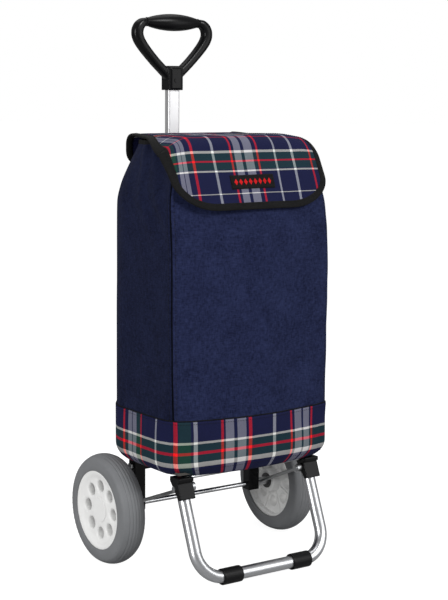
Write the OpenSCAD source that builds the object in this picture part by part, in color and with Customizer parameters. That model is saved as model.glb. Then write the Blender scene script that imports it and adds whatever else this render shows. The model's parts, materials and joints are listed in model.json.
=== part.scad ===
// Two-wheeled shopping trolley with a soft bag, one mast and a folding front foot.
// Millimetres. +Z is up, the front of the trolley faces -Y and +X is to the right as seen
// from the front. Z = 0 is the floor, and the origin is under the middle of the footprint.
// Names that start with left_ are on the -X side.

/* [Wheels and axle] */
// Outer diameter of the tyre
wheel_d = 180; // [150:1:230]
// Width of the tyre
tyre_w = 44; // [36:1:56]
// Radius of the tyre's rounded crown
tyre_crown_r = 30; // [28:1:44]
// Diameter of the rim under the tyre
rim_d = 128; // [118:1:140]
// Width of the rim's barrel
rim_w = 36; // [32:1:36]
// Wall of the rim's barrel
rim_wall = 4; // [3:0.5:6]
// Thickness of the rim's web
web_t = 6; // [4:0.5:8]
// Diameter of the rim's hub
hub_d = 42; // [38:1:50]
// Diameter of the round holes in the web
rim_hole_d = 19; // [12:1:22]
// Radius of the circle that the holes sit on
rim_hole_ring = 39; // [36:1:42]
// Number of holes and of ribs in a rim
rim_holes = 8; // [6:1:8]
// Diameter of the hub cap
hub_cap_d = 40; // [34:1:44]
// Diameter of the axle rod
axle_d = 8; // [6:0.5:10]
// Gap between the bag's side and the tyre
side_gap = 2; // [1:0.5:20]

/* [Frame] */
// Width of a post, along X
post_w = 21; // [18:1:24]
// Depth of a post, along Y
post_d = 19; // [16:1:24]
// How far a post's middle is inside the tyre's inner face
post_inset = 34; // [33:1:40]
// Height of the top of the posts, where the platform wire lies
platform_z = 165; // [155:1:200]
// Diameter of the platform wire
wire_d = 5; // [4:0.5:6]
// Height of the yoke's arms
yoke_arm_h = 15; // [12:1:18]
// Thickness of the yoke's arms
yoke_arm_t = 12; // [10:1:16]
// Wall of the yoke's socket round the mast
yoke_wall = 4; // [3:0.5:5]
// Diameter of the stays that brace the hinges to the axle
stay_d = 6; // [5:0.5:7]

/* [Mast and handle] */
// Overall height to the top of the grip
handle_top = 889; // [860:1:1100]
// Width of the mast's section
mast_w = 22; // [18:0.5:28]
// Depth of the mast's section
mast_d = 14; // [12:0.5:18]
// Wall of the mast's section
mast_wall = 1.6; // [1.2:0.1:2.4]
// Distance from the axle back to the middle of the mast
mast_back = 76; // [66:1:80]
// Overall width of the handle
handle_w = 160; // [150:1:180]
// Height of the handle from its socket's mouth to the top of the grip
handle_h = 125; // [118:1:150]
// Thickness of the handle's arms, front to back
arm_d = 18; // [14:1:20]
// Wall of the handle's socket
socket_wall = 3; // [2.5:0.5:4]
// Length of mast that is inside the handle's socket
socket_depth = 36; // [30:1:38]
// Diameter of the grip at its middle
grip_d = 28; // [24:1:32]
// Length of the grip
grip_l = 102; // [90:1:108]

/* [Bag] */
// Width of the bag
bag_w = 296; // [240:1:360]
// Distance from the axle to the bag's front
bag_front = 165; // [162:1:175]
// Height of the bag's mouth
mouth_z = 680; // [640:1:690]
// Height where the shoulders start to draw in
shoulder_z = 600; // [540:1:620]
// How far the mouth is drawn in at each side
mouth_inset = 26; // [10:1:40]
// How far the drawn-in mouth leans back
mouth_lean = 18; // [0:1:22]
// Radius of the bag's rear corners
bag_rear_r = 75; // [40:1:80]
// Radius of the bag's front corners
bag_front_r = 14; // [10:1:40]
// Thickness of the bag's lined fabric
bag_wall = 2.5; // [2:0.5:4]
// Height of the tartan band round the bottom
band_h = 88; // [60:1:120]
// Width of the flap
flap_w = 284; // [230:1:290]
// Height of the flap's lower edge
flap_low_z = 583; // [560:1:610]
// Thickness of the flap
flap_t = 3; // [2:0.5:4]
// Width of the binding round the flap
binding_w = 11; // [8:1:14]

/* [Foot] */
// Outer diameter of the bent foot tube
foot_tube_d = 20; // [16:0.5:25]
// Wall of the foot tube
foot_wall = 1.5; // [1:0.1:2]
// Angle of the foot's legs from upright, in degrees
foot_rake = 22; // [15:0.5:28]
// How far a leg's middle is inside the tyre's inner face
leg_inset = 26; // [24:1:32]
// Radius of the tube's bends, to its middle
foot_bend_r = 45; // [38:1:60]
// Distance from the axle forward to the hinge pins
pivot_ahead = 144; // [140:1:148]
// Height of the hinge pins
pivot_z = 149; // [145:1:152]
// Diameter of a hinge pin
pivot_d = 6; // [5:0.5:7]
// Thickness of the rubber sleeves' wall
sleeve_wall = 3; // [2:0.5:4]
// Length of a rubber sleeve
sleeve_l = 36; // [30:1:44]
// Distance from the middle to each rubber sleeve's middle
sleeve_x = 68; // [50:1:70]

/* [Hidden] */
$fn = 64;

// Fits
run_gap = 0.05;       // a shaft turning in a bore, on the radius
press_gap = 0.02;      // a piece pushed tight into its seat
skin = 0.02;           // the slices that hull() joins
seat_gap = 0.1;       // a fixed piece slipped into a pocket
move_gap = 0.3;       // faces that pass each other on different bodies
cut = 1;              // how far a cutting shape runs past the face it opens

// Places along Y, measured from the axle
foot_bar_z = foot_tube_d / 2 + sleeve_wall;
leg_drop = pivot_z - foot_bar_z;
leg_l = leg_drop / cos(foot_rake);
foot_bar_ahead = pivot_ahead + leg_drop * tan(foot_rake);
foot_front = foot_bar_ahead + foot_bar_z;
axle_y = (foot_front - wheel_d / 2) / 2;
axle_z = wheel_d / 2;
pivot_y = axle_y - pivot_ahead;
mast_y = axle_y + mast_back;

// Places along X
tyre_in = bag_w / 2 + side_gap;
wheel_x = tyre_in + tyre_w / 2;
post_x = tyre_in - post_inset;
post_in = post_x - post_w / 2;
post_out = post_x + post_w / 2;
leg_x = tyre_in - leg_inset;

// What stands on the axle, from a post outwards
washer_t = 1.5;
eye_r = axle_d / 2 + 4;
stay_lean = 0.18;      // how far a stay leans in, for each mm along it
eye_t = stay_d + 2 * stay_lean * eye_r;
stay_eye_x = post_out + washer_t + eye_t / 2;
spacer_in = stay_eye_x + eye_t / 2;
hub_washer_t = 1.5;
hub_washer_out = tyre_in - move_gap;
spacer_out = hub_washer_out - hub_washer_t;
hub_washer_r = 13;
spacer_r = axle_d / 2 + 3;

// Hub
hub_l = 36;
hub_out = tyre_in + hub_l;
bush_wall = 3;
bush_r = axle_d / 2 + run_gap + bush_wall;
cap_recess = 5;
cap_recess_r = 13;
bush_out = hub_out - cap_recess + 1;
retainer_t = 1.2;
retainer_r = 9;
retainer_in = bush_out + move_gap;
axle_end = hub_out - 1.5;
cap_t = 3;
web_x = 10;
rib_t = 3;

// Yoke
yoke_z = platform_z - wire_d / 2 - 0.2 - yoke_arm_h;
yoke_half = mast_w / 2 + yoke_wall;
yoke_depth = mast_d + 2 * yoke_wall;
yoke_floor = 5;
yoke_top = platform_z + 40;
lug_l = 18;
arm_start = mast_y - 2;
arm_turn = atan2(arm_start - axle_y, post_in - yoke_half);
arm_l = norm([arm_start - axle_y, post_in - yoke_half]);
bolt_r = 3;
bolt_z = yoke_z + yoke_arm_h / 2;
bolt_head_t = 4;
mast_screw_r = 2;
mast_screw_z = [platform_z + 10, platform_z + 28];

// Platform wire
wire_r = wire_d / 2;
wire_front = axle_y - pivot_ahead - 2;
wire_back = axle_y + 22;
wire_bend_r = 14;

// Hinge bracket
plate_t = 3;
leg_gap = 1;
channel_half = foot_tube_d / 2 + leg_gap;
bracket_half = channel_half + plate_t;
bracket_top = platform_z + wire_r;
bracket_back = 13;
bracket_drop = 20;
front_face = foot_tube_d / 2 + move_gap;
saddle_t = 7;
nose = 3;              // the block reaches this far ahead of the wall
toe = 5;               // depth left of the cheek at its foot
stay_top_x = leg_x - bracket_half - seat_gap - eye_t / 2;
top_eye_r = pivot_d / 2 + 4;
stay_rise = atan2(pivot_z - axle_z, pivot_ahead);
stay_run = norm([pivot_z - axle_z, pivot_ahead]);
stay_splay = atan2(stay_eye_x - stay_top_x, stay_run);
stay_l = norm([stay_eye_x - stay_top_x, stay_run]);

// Foot
foot_r = foot_tube_d / 2;
plug_eye_r = foot_r - 0.3;
plug_t = 16;
tube_start = 9;
bend_z = leg_l - foot_bend_r;
sleeve_r = foot_r + sleeve_wall;

// Handle
grip_z = handle_top - grip_d / 2;
socket_z = handle_top - handle_h;
bar_r = 6.5;
core_r = 5;
shoulder_r = 26;
inner_shoulder_r = 14;
shoulder_t = 20;
socket_half = mast_w / 2 + socket_wall;
socket_half_d = mast_d / 2 + socket_wall + 2;
mast_top = socket_z + socket_depth;
crotch_z = mast_top + 6;
socket_top = mast_top + 4;
handle_screw_z = socket_z + 16;
handle_screw_r = 2;
screw_head_r = 4;
screw_head_t = 2.2;

// Bag
band_t = 1.5;
band_gap = 0.05;
bag_z = platform_z + wire_r + 0.5;
bag_y0 = axle_y - bag_front;
bag_y1 = mast_y - yoke_depth / 2 - band_t - band_gap - move_gap;
toe_h = 22;
toe_inset = 9;
hem_h = 6;
hem_t = 1.5;
board_t = 4;
loop_t = 1.5;
loop_h = 30;
loop_gap = 0.4;
upper_loop_z = shoulder_z - 50;
lower_loop_z = bag_z + band_h + 10;
tape_w = 80;
tape_h = 20;
tape_t = 0.6;
tape_z = flap_low_z + 16;

// Flap
flap_hinge_y = mast_y - grip_d / 2 - flap_t * 2 - 1;
flap_hinge_z = mouth_z + 8;
flap_in_y = bag_y0 - 1.5;
flap_top = flap_hinge_z + flap_t * 2;
flap_round = 48;
flap_corner_r = 57;
label_w = 84;
label_h = 18;
label_t = 1.2;
label_z = flap_low_z + 31;

// Colours
black = [0.06, 0.06, 0.065];
silver = [0.78, 0.79, 0.8];
steel = [0.62, 0.63, 0.65];
tyre_grey = [0.42, 0.43, 0.44];
rim_white = [0.9, 0.9, 0.89];
navy = [0.11, 0.14, 0.29];
tartan = [0.12, 0.2, 0.24];

// A round bar along X from x0 to x1
module bar_x(r, x0, x1, y, z) {
    translate([x0, y, z]) rotate([0, 90, 0]) cylinder(r = r, h = x1 - x0);
}

// A round bar along Y from y0 to y1
module bar_y(r, y0, y1, x, z) {
    translate([x, y0, z]) rotate([-90, 0, 0]) cylinder(r = r, h = y1 - y0);
}

// A tube along X
module tube_x(r_out, r_in, x0, x1, y, z) {
    difference() {
        bar_x(r_out, x0, x1, y, z);
        bar_x(r_in, x0 - cut, x1 + cut, y, z);
    }
}

// What is drawn for the right side, or its mirror image for the left
module on_side(side) {
    if (side < 0) mirror([1, 0, 0]) children();
    else children();
}

module both_sides() {
    on_side(1) children();
    on_side(-1) children();
}

// A rectangle with rounded corners, centred
module soft_rect(w, d, r) {
    square([w - 2 * r, d], center = true);
    square([w, d - 2 * r], center = true);
    for (sx = [-1, 1], sy = [-1, 1])
        translate([sx * (w / 2 - r), sy * (d / 2 - r)]) circle(r = r);
}

// The mast's section, grown by a gap
module mast_section(gap) {
    soft_rect(mast_w + 2 * gap, mast_d + 2 * gap, 3 + gap);
}

// ---------------------------------------------------------------- wheels

module wheel_spin() {
    translate([wheel_x, axle_y, axle_z]) rotate([0, 90, 0]) children();
}

module tyre(side) {
    color(tyre_grey) on_side(side) wheel_spin() rotate_extrude($fn = 96) intersection() {
        translate([rim_d / 2, -tyre_w / 2]) square([(wheel_d - rim_d) / 2, tyre_w]);
        translate([wheel_d / 2 - tyre_crown_r, 0]) circle(r = tyre_crown_r);
    }
}

module rim(side) {
    hub_in = -tyre_w / 2;
    color(rim_white) on_side(side) wheel_spin() difference() {
        union() {
            rotate_extrude($fn = 96) {
                translate([rim_d / 2 - rim_wall, -rim_w / 2]) square([rim_wall, rim_w]);
                translate([hub_d / 4, web_x - web_t / 2])
                    square([rim_d / 2 - rim_wall / 2 - hub_d / 4, web_t]);
            }
            translate([0, 0, hub_in]) cylinder(d = hub_d, h = hub_l);
            for (i = [0:rim_holes - 1]) rotate([0, 0, (i + 0.5) * 360 / rim_holes])
                translate([hub_d / 4, -rib_t / 2, hub_in + 6])
                    cube([rim_d / 2 - rim_wall / 2 - hub_d / 4, rib_t, web_x - hub_in - 6]);
        }
        for (i = [0:rim_holes - 1]) rotate([0, 0, i * 360 / rim_holes])
            translate([rim_hole_ring, 0, web_x - web_t / 2 - cut])
                cylinder(d = rim_hole_d, h = web_t + 2 * cut);
        translate([0, 0, hub_in - cut]) cylinder(r = bush_r, h = hub_l + 2 * cut);
        translate([0, 0, hub_in + hub_l - cap_recess])
            cylinder(r = cap_recess_r, h = cap_recess + cut);
    }
}

module hub_bush(side) {
    color(black) on_side(side)
        tube_x(bush_r, axle_d / 2 + run_gap, tyre_in, bush_out, axle_y, axle_z);
}

module hub_cap(side) {
    spigot_l = cap_recess - 1.5;
    color(rim_white) on_side(side) {
        bar_x(hub_cap_d / 2, hub_out, hub_out + cap_t, axle_y, axle_z);
        tube_x(cap_recess_r, cap_recess_r - 2, hub_out - spigot_l, hub_out, axle_y, axle_z);
    }
}

// ------------------------------------------------------------------ axle

module axle() {
    color(silver) bar_x(axle_d / 2, -axle_end, axle_end, axle_y, axle_z);
}

module axle_washers() {
    color(steel) both_sides()
        tube_x(eye_r, axle_d / 2, post_out, post_out + washer_t, axle_y, axle_z);
}

module axle_spacer(side) {
    color(black) on_side(side)
        tube_x(spacer_r, axle_d / 2, spacer_in, spacer_out, axle_y, axle_z);
}

module hub_washers() {
    color([0.2, 0.2, 0.2]) both_sides()
        tube_x(hub_washer_r, axle_d / 2, spacer_out, hub_washer_out, axle_y, axle_z);
}

module axle_retainers() {
    color(steel) both_sides()
        tube_x(retainer_r, axle_d / 2, retainer_in, retainer_in + retainer_t, axle_y, axle_z);
}

// A rod from the axle up to the hinge pin, with an eye at each end
module stay(side) {
    color(steel) on_side(side) difference() {
        union() {
            bar_x(eye_r, stay_eye_x - eye_t / 2, stay_eye_x + eye_t / 2, axle_y, axle_z);
            bar_x(top_eye_r, stay_top_x - eye_t / 2, stay_top_x + eye_t / 2, pivot_y, pivot_z);
            translate([stay_eye_x, axle_y, axle_z]) rotate([-stay_rise, 0, 0])
                rotate([90, 0, -stay_splay]) cylinder(d = stay_d, h = stay_l);
        }
        bar_x(axle_d / 2, stay_eye_x - eye_t, stay_eye_x + eye_t, axle_y, axle_z);
        bar_x(pivot_d / 2, stay_top_x - eye_t, stay_top_x + eye_t, pivot_y, pivot_z);
    }
}

// ----------------------------------------------------------------- frame

module post(side) {
    color(black) on_side(side) difference() {
        translate([post_in, axle_y - post_d / 2, axle_z - axle_d / 2 - 6])
            cube([post_w, post_d, platform_z - axle_z + axle_d / 2 + 6]);
        bar_x(axle_d / 2, post_in - cut, post_out + cut, axle_y, axle_z);
        bar_x(bolt_r, post_in - cut, post_out + cut, axle_y, bolt_z);
        bar_y(wire_r + press_gap, axle_y - post_d, axle_y + post_d, post_x, platform_z);
    }
}

module post_bolts() {
    color(steel) both_sides() {
        bar_x(bolt_r, post_in - lug_l + 4, post_out, axle_y, bolt_z);
        translate([post_out, axle_y, bolt_z]) rotate([0, 90, 0])
            cylinder(r = bolt_r * 1.9, h = bolt_head_t, $fn = 6);
    }
}

// The socket under the mast, with an arm to each post
module yoke() {
    color(black) difference() {
        union() {
            translate([-yoke_half, mast_y - yoke_depth / 2, yoke_z])
                cube([2 * yoke_half, yoke_depth, yoke_top - yoke_z]);
            both_sides() {
                intersection() {
                    translate([yoke_half - cut, axle_y - 50, yoke_z])
                        cube([post_in - yoke_half + cut, mast_back + 100, yoke_arm_h]);
                    translate([post_in, axle_y, yoke_z]) rotate([0, 0, -arm_turn])
                        translate([-arm_l - 10, -yoke_arm_t / 2, 0])
                            cube([arm_l + 30, yoke_arm_t, yoke_arm_h]);
                }
                translate([post_in - lug_l, axle_y - post_d / 2 + 2, yoke_z])
                    cube([lug_l, post_d - 4, yoke_arm_h]);
            }
        }
        translate([0, mast_y, yoke_z + yoke_floor])
            linear_extrude(yoke_top - yoke_z) mast_section(seat_gap);
        both_sides() bar_x(bolt_r, post_in - lug_l + 4, post_in + cut, axle_y, bolt_z);
        for (z = mast_screw_z)
            bar_y(mast_screw_r, mast_y, mast_y + yoke_depth, 0, z);
    }
}

module mast_tube() {
    color(silver) difference() {
        translate([0, mast_y, yoke_z + yoke_floor])
            linear_extrude(mast_top - yoke_z - yoke_floor) difference() {
                mast_section(0);
                mast_section(-mast_wall);
            }
        for (z = mast_screw_z) bar_y(mast_screw_r, mast_y, mast_y + mast_d, 0, z);
        bar_y(handle_screw_r, mast_y - mast_d, mast_y, 0, handle_screw_z);
    }
}

module mast_screws() {
    color(steel) for (z = mast_screw_z) {
        bar_y(mast_screw_r, mast_y + 2, mast_y + yoke_depth / 2, 0, z);
        bar_y(screw_head_r, mast_y + yoke_depth / 2, mast_y + yoke_depth / 2 + screw_head_t,
              0, z);
    }
}

// A quarter bend of round bar in the XY plane, from +X to +Y, round the origin
module quarter_bend(r, bend_r) {
    rotate_extrude(angle = 90) translate([bend_r, 0]) circle(r = r);
}

// The closed wire that the bag stands on
module platform_path(r) {
    y_front = wire_front + wire_bend_r;
    y_back = wire_back - wire_bend_r;
    x_in = post_x - wire_bend_r;
    both_sides() {
        bar_y(r, y_front, y_back, post_x, platform_z);
        translate([x_in, y_back, platform_z]) quarter_bend(r, wire_bend_r);
        translate([x_in, y_front, platform_z]) mirror([0, 1, 0]) quarter_bend(r, wire_bend_r);
    }
    bar_x(r, -x_in, x_in, wire_front, platform_z);
    bar_x(r, -x_in, x_in, wire_back, platform_z);
}

module platform_wire() {
    color(steel) platform_path(wire_r);
}

// --------------------------------------------------------------- hinges

// Turns what is drawn along -Z under the hinge pin to the rake of the legs
module raked() {
    translate([0, pivot_y, pivot_z]) rotate([-foot_rake, 0, 0]) children();
}

// A channel with an open back, whose front wall is the foot's stop
module hinge_bracket(side) {
    x0 = leg_x - bracket_half;
    color(black) on_side(side) difference() {
        translate([x0, 0, 0]) bracket_profile(2 * bracket_half);
        translate([leg_x - channel_half, 0, 0]) channel_profile(2 * channel_half);
        translate([x0 - cut, wire_front - wire_r - press_gap, platform_z - wire_r - press_gap])
            cube([post_x + wire_r + press_gap - x0 + cut, 2 * (bracket_back + wire_d), 2 * wire_d]);
        bar_x(pivot_d / 2, x0 - cut, x0 + 2 * bracket_half + cut, pivot_y, pivot_z);
    }
}

// How far ahead of the pivot a line parallel to the leg, d in front of it, is at height z
function raked_y(d, z) = (sin(foot_rake) * z - d) / cos(foot_rake);

// The bracket from the side: a block over the wire, and a wall that follows the leg
module bracket_profile(width) {
    f = front_face + plate_t;
    s = sin(foot_rake);
    c = cos(foot_rake);
    top = bracket_top - pivot_z;
    under = top - saddle_t;
    rotate([90, 0, 90]) linear_extrude(width) translate([pivot_y, pivot_z]) polygon([
        [-f - nose, top],
        [bracket_back, top],
        [bracket_back, under],
        [-s * bracket_drop - toe * c, -c * bracket_drop + toe * s],
        [-s * bracket_drop - f * c, -c * bracket_drop + f * s],
        [raked_y(f, under), under],
        [-f - nose, under]
    ]);
}

// The room the leg swings in, open behind and below
module channel_profile(width) {
    under = bracket_top - pivot_z - saddle_t;
    low = -2 * bracket_drop;
    rotate([90, 0, 90]) linear_extrude(width) translate([pivot_y, pivot_z]) polygon([
        [raked_y(front_face, under), under],
        [3 * bracket_back, under],
        [3 * bracket_back, low],
        [raked_y(front_face, low), low]
    ]);
}

module hinge_pin(side) {
    x0 = stay_top_x - eye_t / 2;
    x1 = leg_x + bracket_half;
    head_t = 1.6;
    color(silver) on_side(side) {
        bar_x(pivot_d / 2, x0, x1, pivot_y, pivot_z);
        bar_x(pivot_d / 2 + 1.5, x1, x1 + head_t, pivot_y, pivot_z);
        bar_x(pivot_d / 2 + 1.5, x0 - head_t, x0, pivot_y, pivot_z);
    }
}

// ----------------------------------------------------------------- foot

module foot_path(r) {
    both_sides() {
        translate([leg_x, 0, -bend_z]) cylinder(r = r, h = bend_z - tube_start);
        translate([leg_x - foot_bend_r, 0, -bend_z]) rotate([-90, 0, 0])
            quarter_bend(r, foot_bend_r);
    }
    bar_x(r, -leg_x + foot_bend_r, leg_x - foot_bend_r, 0, -leg_l);
}

module foot_tube() {
    color(silver) raked() difference() {
        foot_path(foot_r);
        foot_path(foot_r - foot_wall);
        both_sides() translate([leg_x, 0, -tube_start - 2 * cut])
            cylinder(r = foot_r - foot_wall, h = 4 * cut);
    }
}

// A moulded plug in the top of a leg, with the eye that turns on the hinge pin
module leg_plug(side) {
    spigot = 24;
    color(black) on_side(side) raked() difference() {
        union() {
            translate([leg_x, 0, -tube_start - spigot])
                cylinder(r = foot_r - foot_wall - press_gap, h = spigot);
            translate([leg_x - plug_t / 2, -plug_eye_r * 0.7, -tube_start])
                cube([plug_t, plug_eye_r * 1.4, tube_start]);
            bar_x(plug_eye_r, leg_x - plug_t / 2, leg_x + plug_t / 2, 0, 0);
        }
        bar_x(pivot_d / 2 + run_gap, leg_x - plug_t, leg_x + plug_t, 0, 0);
    }
}

module foot_sleeve(side) {
    color(black) on_side(side) raked()
        tube_x(sleeve_r, foot_r, sleeve_x - sleeve_l / 2, sleeve_x + sleeve_l / 2, 0, -leg_l);
}

// --------------------------------------------------------------- handle

module handle_outline() {
    shoulder_x = handle_w / 2 - shoulder_r;
    inner_x = handle_w / 2 - shoulder_t - inner_shoulder_r;
    difference() {
        hull() {
            for (s = [-1, 1]) translate([s * shoulder_x, grip_z + bar_r - shoulder_r])
                circle(r = shoulder_r);
            translate([-socket_half, mast_top - 10]) square([2 * socket_half, 4]);
        }
        hull() {
            for (s = [-1, 1]) translate([s * inner_x, grip_z - bar_r - inner_shoulder_r])
                circle(r = inner_shoulder_r);
            translate([-socket_half + 2, crotch_z]) square([2 * socket_half - 4, 4]);
        }
        translate([-grip_l / 2 - 0.1, grip_z - bar_r - cut])
            square([grip_l + 0.2, 2 * bar_r + 2 * cut]);
    }
}

module handle_frame() {
    color(black) difference() {
        union() {
            translate([0, mast_y + arm_d / 2, 0]) rotate([90, 0, 0])
                linear_extrude(arm_d) handle_outline();
            translate([-socket_half, mast_y - socket_half_d, socket_z])
                cube([2 * socket_half, 2 * socket_half_d, socket_top - socket_z]);
            bar_x(core_r, -grip_l / 2 - 2, grip_l / 2 + 2, mast_y, grip_z);
        }
        translate([0, mast_y, socket_z - cut])
            linear_extrude(socket_depth + seat_gap + cut) mast_section(seat_gap);
        bar_y(handle_screw_r, mast_y - 2 * socket_half_d, mast_y, 0, handle_screw_z);
    }
}

// The soft barrel that turns the crossbar into a grip
module handle_grip() {
    swell = grip_d / 2 - bar_r;
    arc_r = (pow(grip_l / 2, 2) + pow(swell, 2)) / (2 * swell);
    color(black) translate([-grip_l / 2, mast_y, grip_z]) rotate([0, 90, 0])
        rotate_extrude() intersection() {
            translate([core_r, 0]) square([grip_d, grip_l]);
            translate([grip_d / 2 - arc_r, grip_l / 2]) circle(r = arc_r, $fn = 360);
        }
}

module handle_screw() {
    y0 = mast_y - socket_half_d;
    color(steel) {
        bar_y(handle_screw_r, y0, mast_y - mast_d / 2 + 6, 0, handle_screw_z);
        bar_y(screw_head_r, y0 - screw_head_t, y0, 0, handle_screw_z);
    }
}

// ------------------------------------------------------------------ bag

// The bag's plan, drawn in by an inset all round
module bag_plan(inset) {
    x = bag_w / 2 - inset;
    y0 = bag_y0 + inset;
    y1 = bag_y1 - inset;
    rf = max(bag_front_r - inset, 3);
    rb = bag_rear_r - inset;
    for (s = [-1, 1]) {
        translate([s * (x - rf), y0 + rf]) circle(r = rf);
        translate([s * (x - rb), y1 - rb]) circle(r = rb, $fn = 96);
    }
    translate([-x + rf, y0]) square([2 * (x - rf), rf + 1]);
    translate([-x, y0 + rf]) square([2 * x, y1 - y0 - rb - rf]);
    translate([-x + rb, y1 - rb - 1]) square([2 * (x - rb), rb + 1]);
}

// A thin slice of the bag's plan, which hull() joins to the next
module slice(inset, z, lean = 0) {
    translate([0, lean, z]) linear_extrude(skin) bag_plan(inset);
}

// The outer shape of the bag, drawn in by an inset, up to a height
module bag_form(inset) {
    hull() {
        slice(inset + toe_inset, bag_z + inset);
        slice(inset, bag_z + toe_h);
    }
    translate([0, 0, bag_z + toe_h]) linear_extrude(shoulder_z - bag_z - toe_h)
        bag_plan(inset);
    hull() {
        slice(inset, shoulder_z);
        slice(inset + mouth_inset, mouth_z, mouth_lean);
    }
}

module bag_body() {
    color(navy) difference() {
        bag_form(0);
        bag_form(bag_wall);
        translate([0, mouth_lean, mouth_z - cut]) linear_extrude(4 * cut)
            bag_plan(bag_wall + mouth_inset);
    }
}

module tartan_band() {
    color(tartan) {
        difference() {
            hull() {
                slice(toe_inset - band_t - band_gap, bag_z);
                slice(-band_t - band_gap, bag_z + toe_h);
            }
            hull() {
                slice(toe_inset - band_gap, bag_z - skin);
                slice(-band_gap, bag_z + toe_h + 2 * skin);
            }
        }
        translate([0, 0, bag_z + toe_h]) linear_extrude(band_h - toe_h) difference() {
            bag_plan(-band_t - band_gap);
            bag_plan(-band_gap);
        }
    }
}

// The hemmed edge round the mouth, which the flap covers
module mouth_hem() {
    color(navy) translate([0, mouth_lean, mouth_z + 2 * skin]) linear_extrude(hem_h) difference() {
        bag_plan(mouth_inset - hem_t);
        bag_plan(mouth_inset + bag_wall + hem_t);
    }
}

module base_board() {
    color([0.25, 0.2, 0.15]) translate([0, 0, bag_z + bag_wall + 0.2])
        linear_extrude(board_t) bag_plan(toe_inset + bag_wall + 3);
}

module back_board() {
    w = bag_w - 2 * bag_rear_r - 10;
    z0 = bag_z + toe_h + 1;
    color([0.25, 0.2, 0.15]) translate([-w / 2, bag_y1 - bag_wall - 0.2 - 3, z0])
        cube([w, 3, shoulder_z - z0]);
}

// A webbing loop that ties the bag's back to the mast
module mast_loop(z) {
    w = mast_w + 2 * (loop_gap + loop_t);
    d = mast_d + 2 * (loop_gap + loop_t);
    color(black) translate([0, mast_y, z]) linear_extrude(loop_h) {
        difference() {
            soft_rect(w, d, 4);
            mast_section(loop_gap);
        }
        translate([-w / 2 - 14, -d / 2 - (mast_y - d / 2 - bag_y1)])
            square([w + 28, mast_y - d / 2 - bag_y1 + 0.01]);
    }
}

module closure_loop_tape() {
    color(black) translate([-tape_w / 2, bag_y0 - tape_t, tape_z]) cube([tape_w, tape_t, tape_h]);
}

// ----------------------------------------------------------------- flap

// The flap's side view: flat top, rounded front and straight drop
module flap_profile(t) {
    y0 = flap_in_y - flap_t;
    translate([0, 0]) difference() {
        union() {
            translate([y0 + flap_round, flap_top - t])
                square([flap_hinge_y - y0 - flap_round, t]);
            translate([y0 + flap_round, flap_top - flap_round]) circle(r = flap_round, $fn = 96);
            translate([y0, flap_low_z]) square([t, flap_top - flap_round - flap_low_z]);
        }
        translate([y0 + flap_round, flap_top - flap_round])
            circle(r = flap_round - t, $fn = 96);
        translate([y0 + t, flap_low_z - cut])
            square([flap_round * 3, flap_top - flap_round - flap_low_z + cut]);
        translate([y0 + flap_round, flap_low_z - cut])
            square([flap_round * 3, flap_top - t - flap_low_z + cut]);
    }
}

// The flap's front view, drawn in by an inset
module flap_front(inset) {
    x = flap_w / 2 - inset;
    r = flap_corner_r - inset;
    z0 = flap_low_z + inset;
    for (s = [-1, 1]) translate([s * (x - r), z0 + r]) circle(r = r);
    translate([-x + r, z0]) square([2 * (x - r), r + 1]);
    translate([-x, z0 + r]) square([2 * x, flap_top + 10 - z0 - r]);
}

module flap_prism(inset) {
    translate([0, flap_hinge_y + 10, 0]) rotate([90, 0, 0]) linear_extrude(400)
        flap_front(inset);
}

module flap_sheet() {
    translate([-flap_w, 0, 0]) rotate([90, 0, 90]) linear_extrude(2 * flap_w)
        flap_profile(flap_t);
}

module flap() {
    color(tartan) intersection() {
        flap_sheet();
        flap_prism(binding_w);
    }
}

module flap_binding() {
    color(black) difference() {
        intersection() {
            flap_sheet();
            flap_prism(0);
        }
        flap_prism(binding_w);
    }
}

module closure_hook_tape() {
    color(black) translate([-tape_w / 2, flap_in_y, tape_z]) cube([tape_w, tape_t, tape_h]);
}

module label_patch() {
    color(black) translate([-label_w / 2, flap_in_y - flap_t - label_t, label_z])
        cube([label_w, label_t, label_h]);
}

handle_frame();
handle_grip();
handle_screw();
mast_tube();
yoke();
mast_screws();
post(-1);  // left_post
post(1);  // right_post
post_bolts();
axle();
axle_washers();
stay(-1);  // left_stay
stay(1);  // right_stay
axle_spacer(-1);  // left_axle_spacer
axle_spacer(1);  // right_axle_spacer
hub_washers();
axle_retainers();
tyre(-1);  // left_tyre
rim(-1);  // left_rim
hub_bush(-1);  // left_hub_bush
hub_cap(-1);  // left_hub_cap
tyre(1);  // right_tyre
rim(1);  // right_rim
hub_bush(1);  // right_hub_bush
hub_cap(1);  // right_hub_cap
platform_wire();
hinge_bracket(-1);  // left_hinge_bracket
hinge_bracket(1);  // right_hinge_bracket
hinge_pin(-1);  // left_hinge_pin
hinge_pin(1);  // right_hinge_pin
foot_tube();
leg_plug(-1);  // left_leg_plug
leg_plug(1);  // right_leg_plug
foot_sleeve(-1);  // left_foot_sleeve
foot_sleeve(1);  // right_foot_sleeve
bag_body();
tartan_band();
mouth_hem();
base_board();
back_board();
mast_loop(upper_loop_z);  // upper_mast_loop
mast_loop(lower_loop_z);  // lower_mast_loop
closure_loop_tape();
flap();
flap_binding();
closure_hook_tape();
label_patch();
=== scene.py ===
# %% [markdown]
# # A shopping trolley, dressed on its CAD frame
# The tubes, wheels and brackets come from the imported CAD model, which never moves. This script gives every one of
# them a real finish, and builds what CAD can't: the sewn bag, the tartan band, the lid flap and its binding. Each
# markdown cell says what a piece is on the real trolley and why it is made the way it is.

import json
import math

import bmesh
import bpy
import numpy as np
from mathutils import Matrix, Vector, noise

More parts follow.
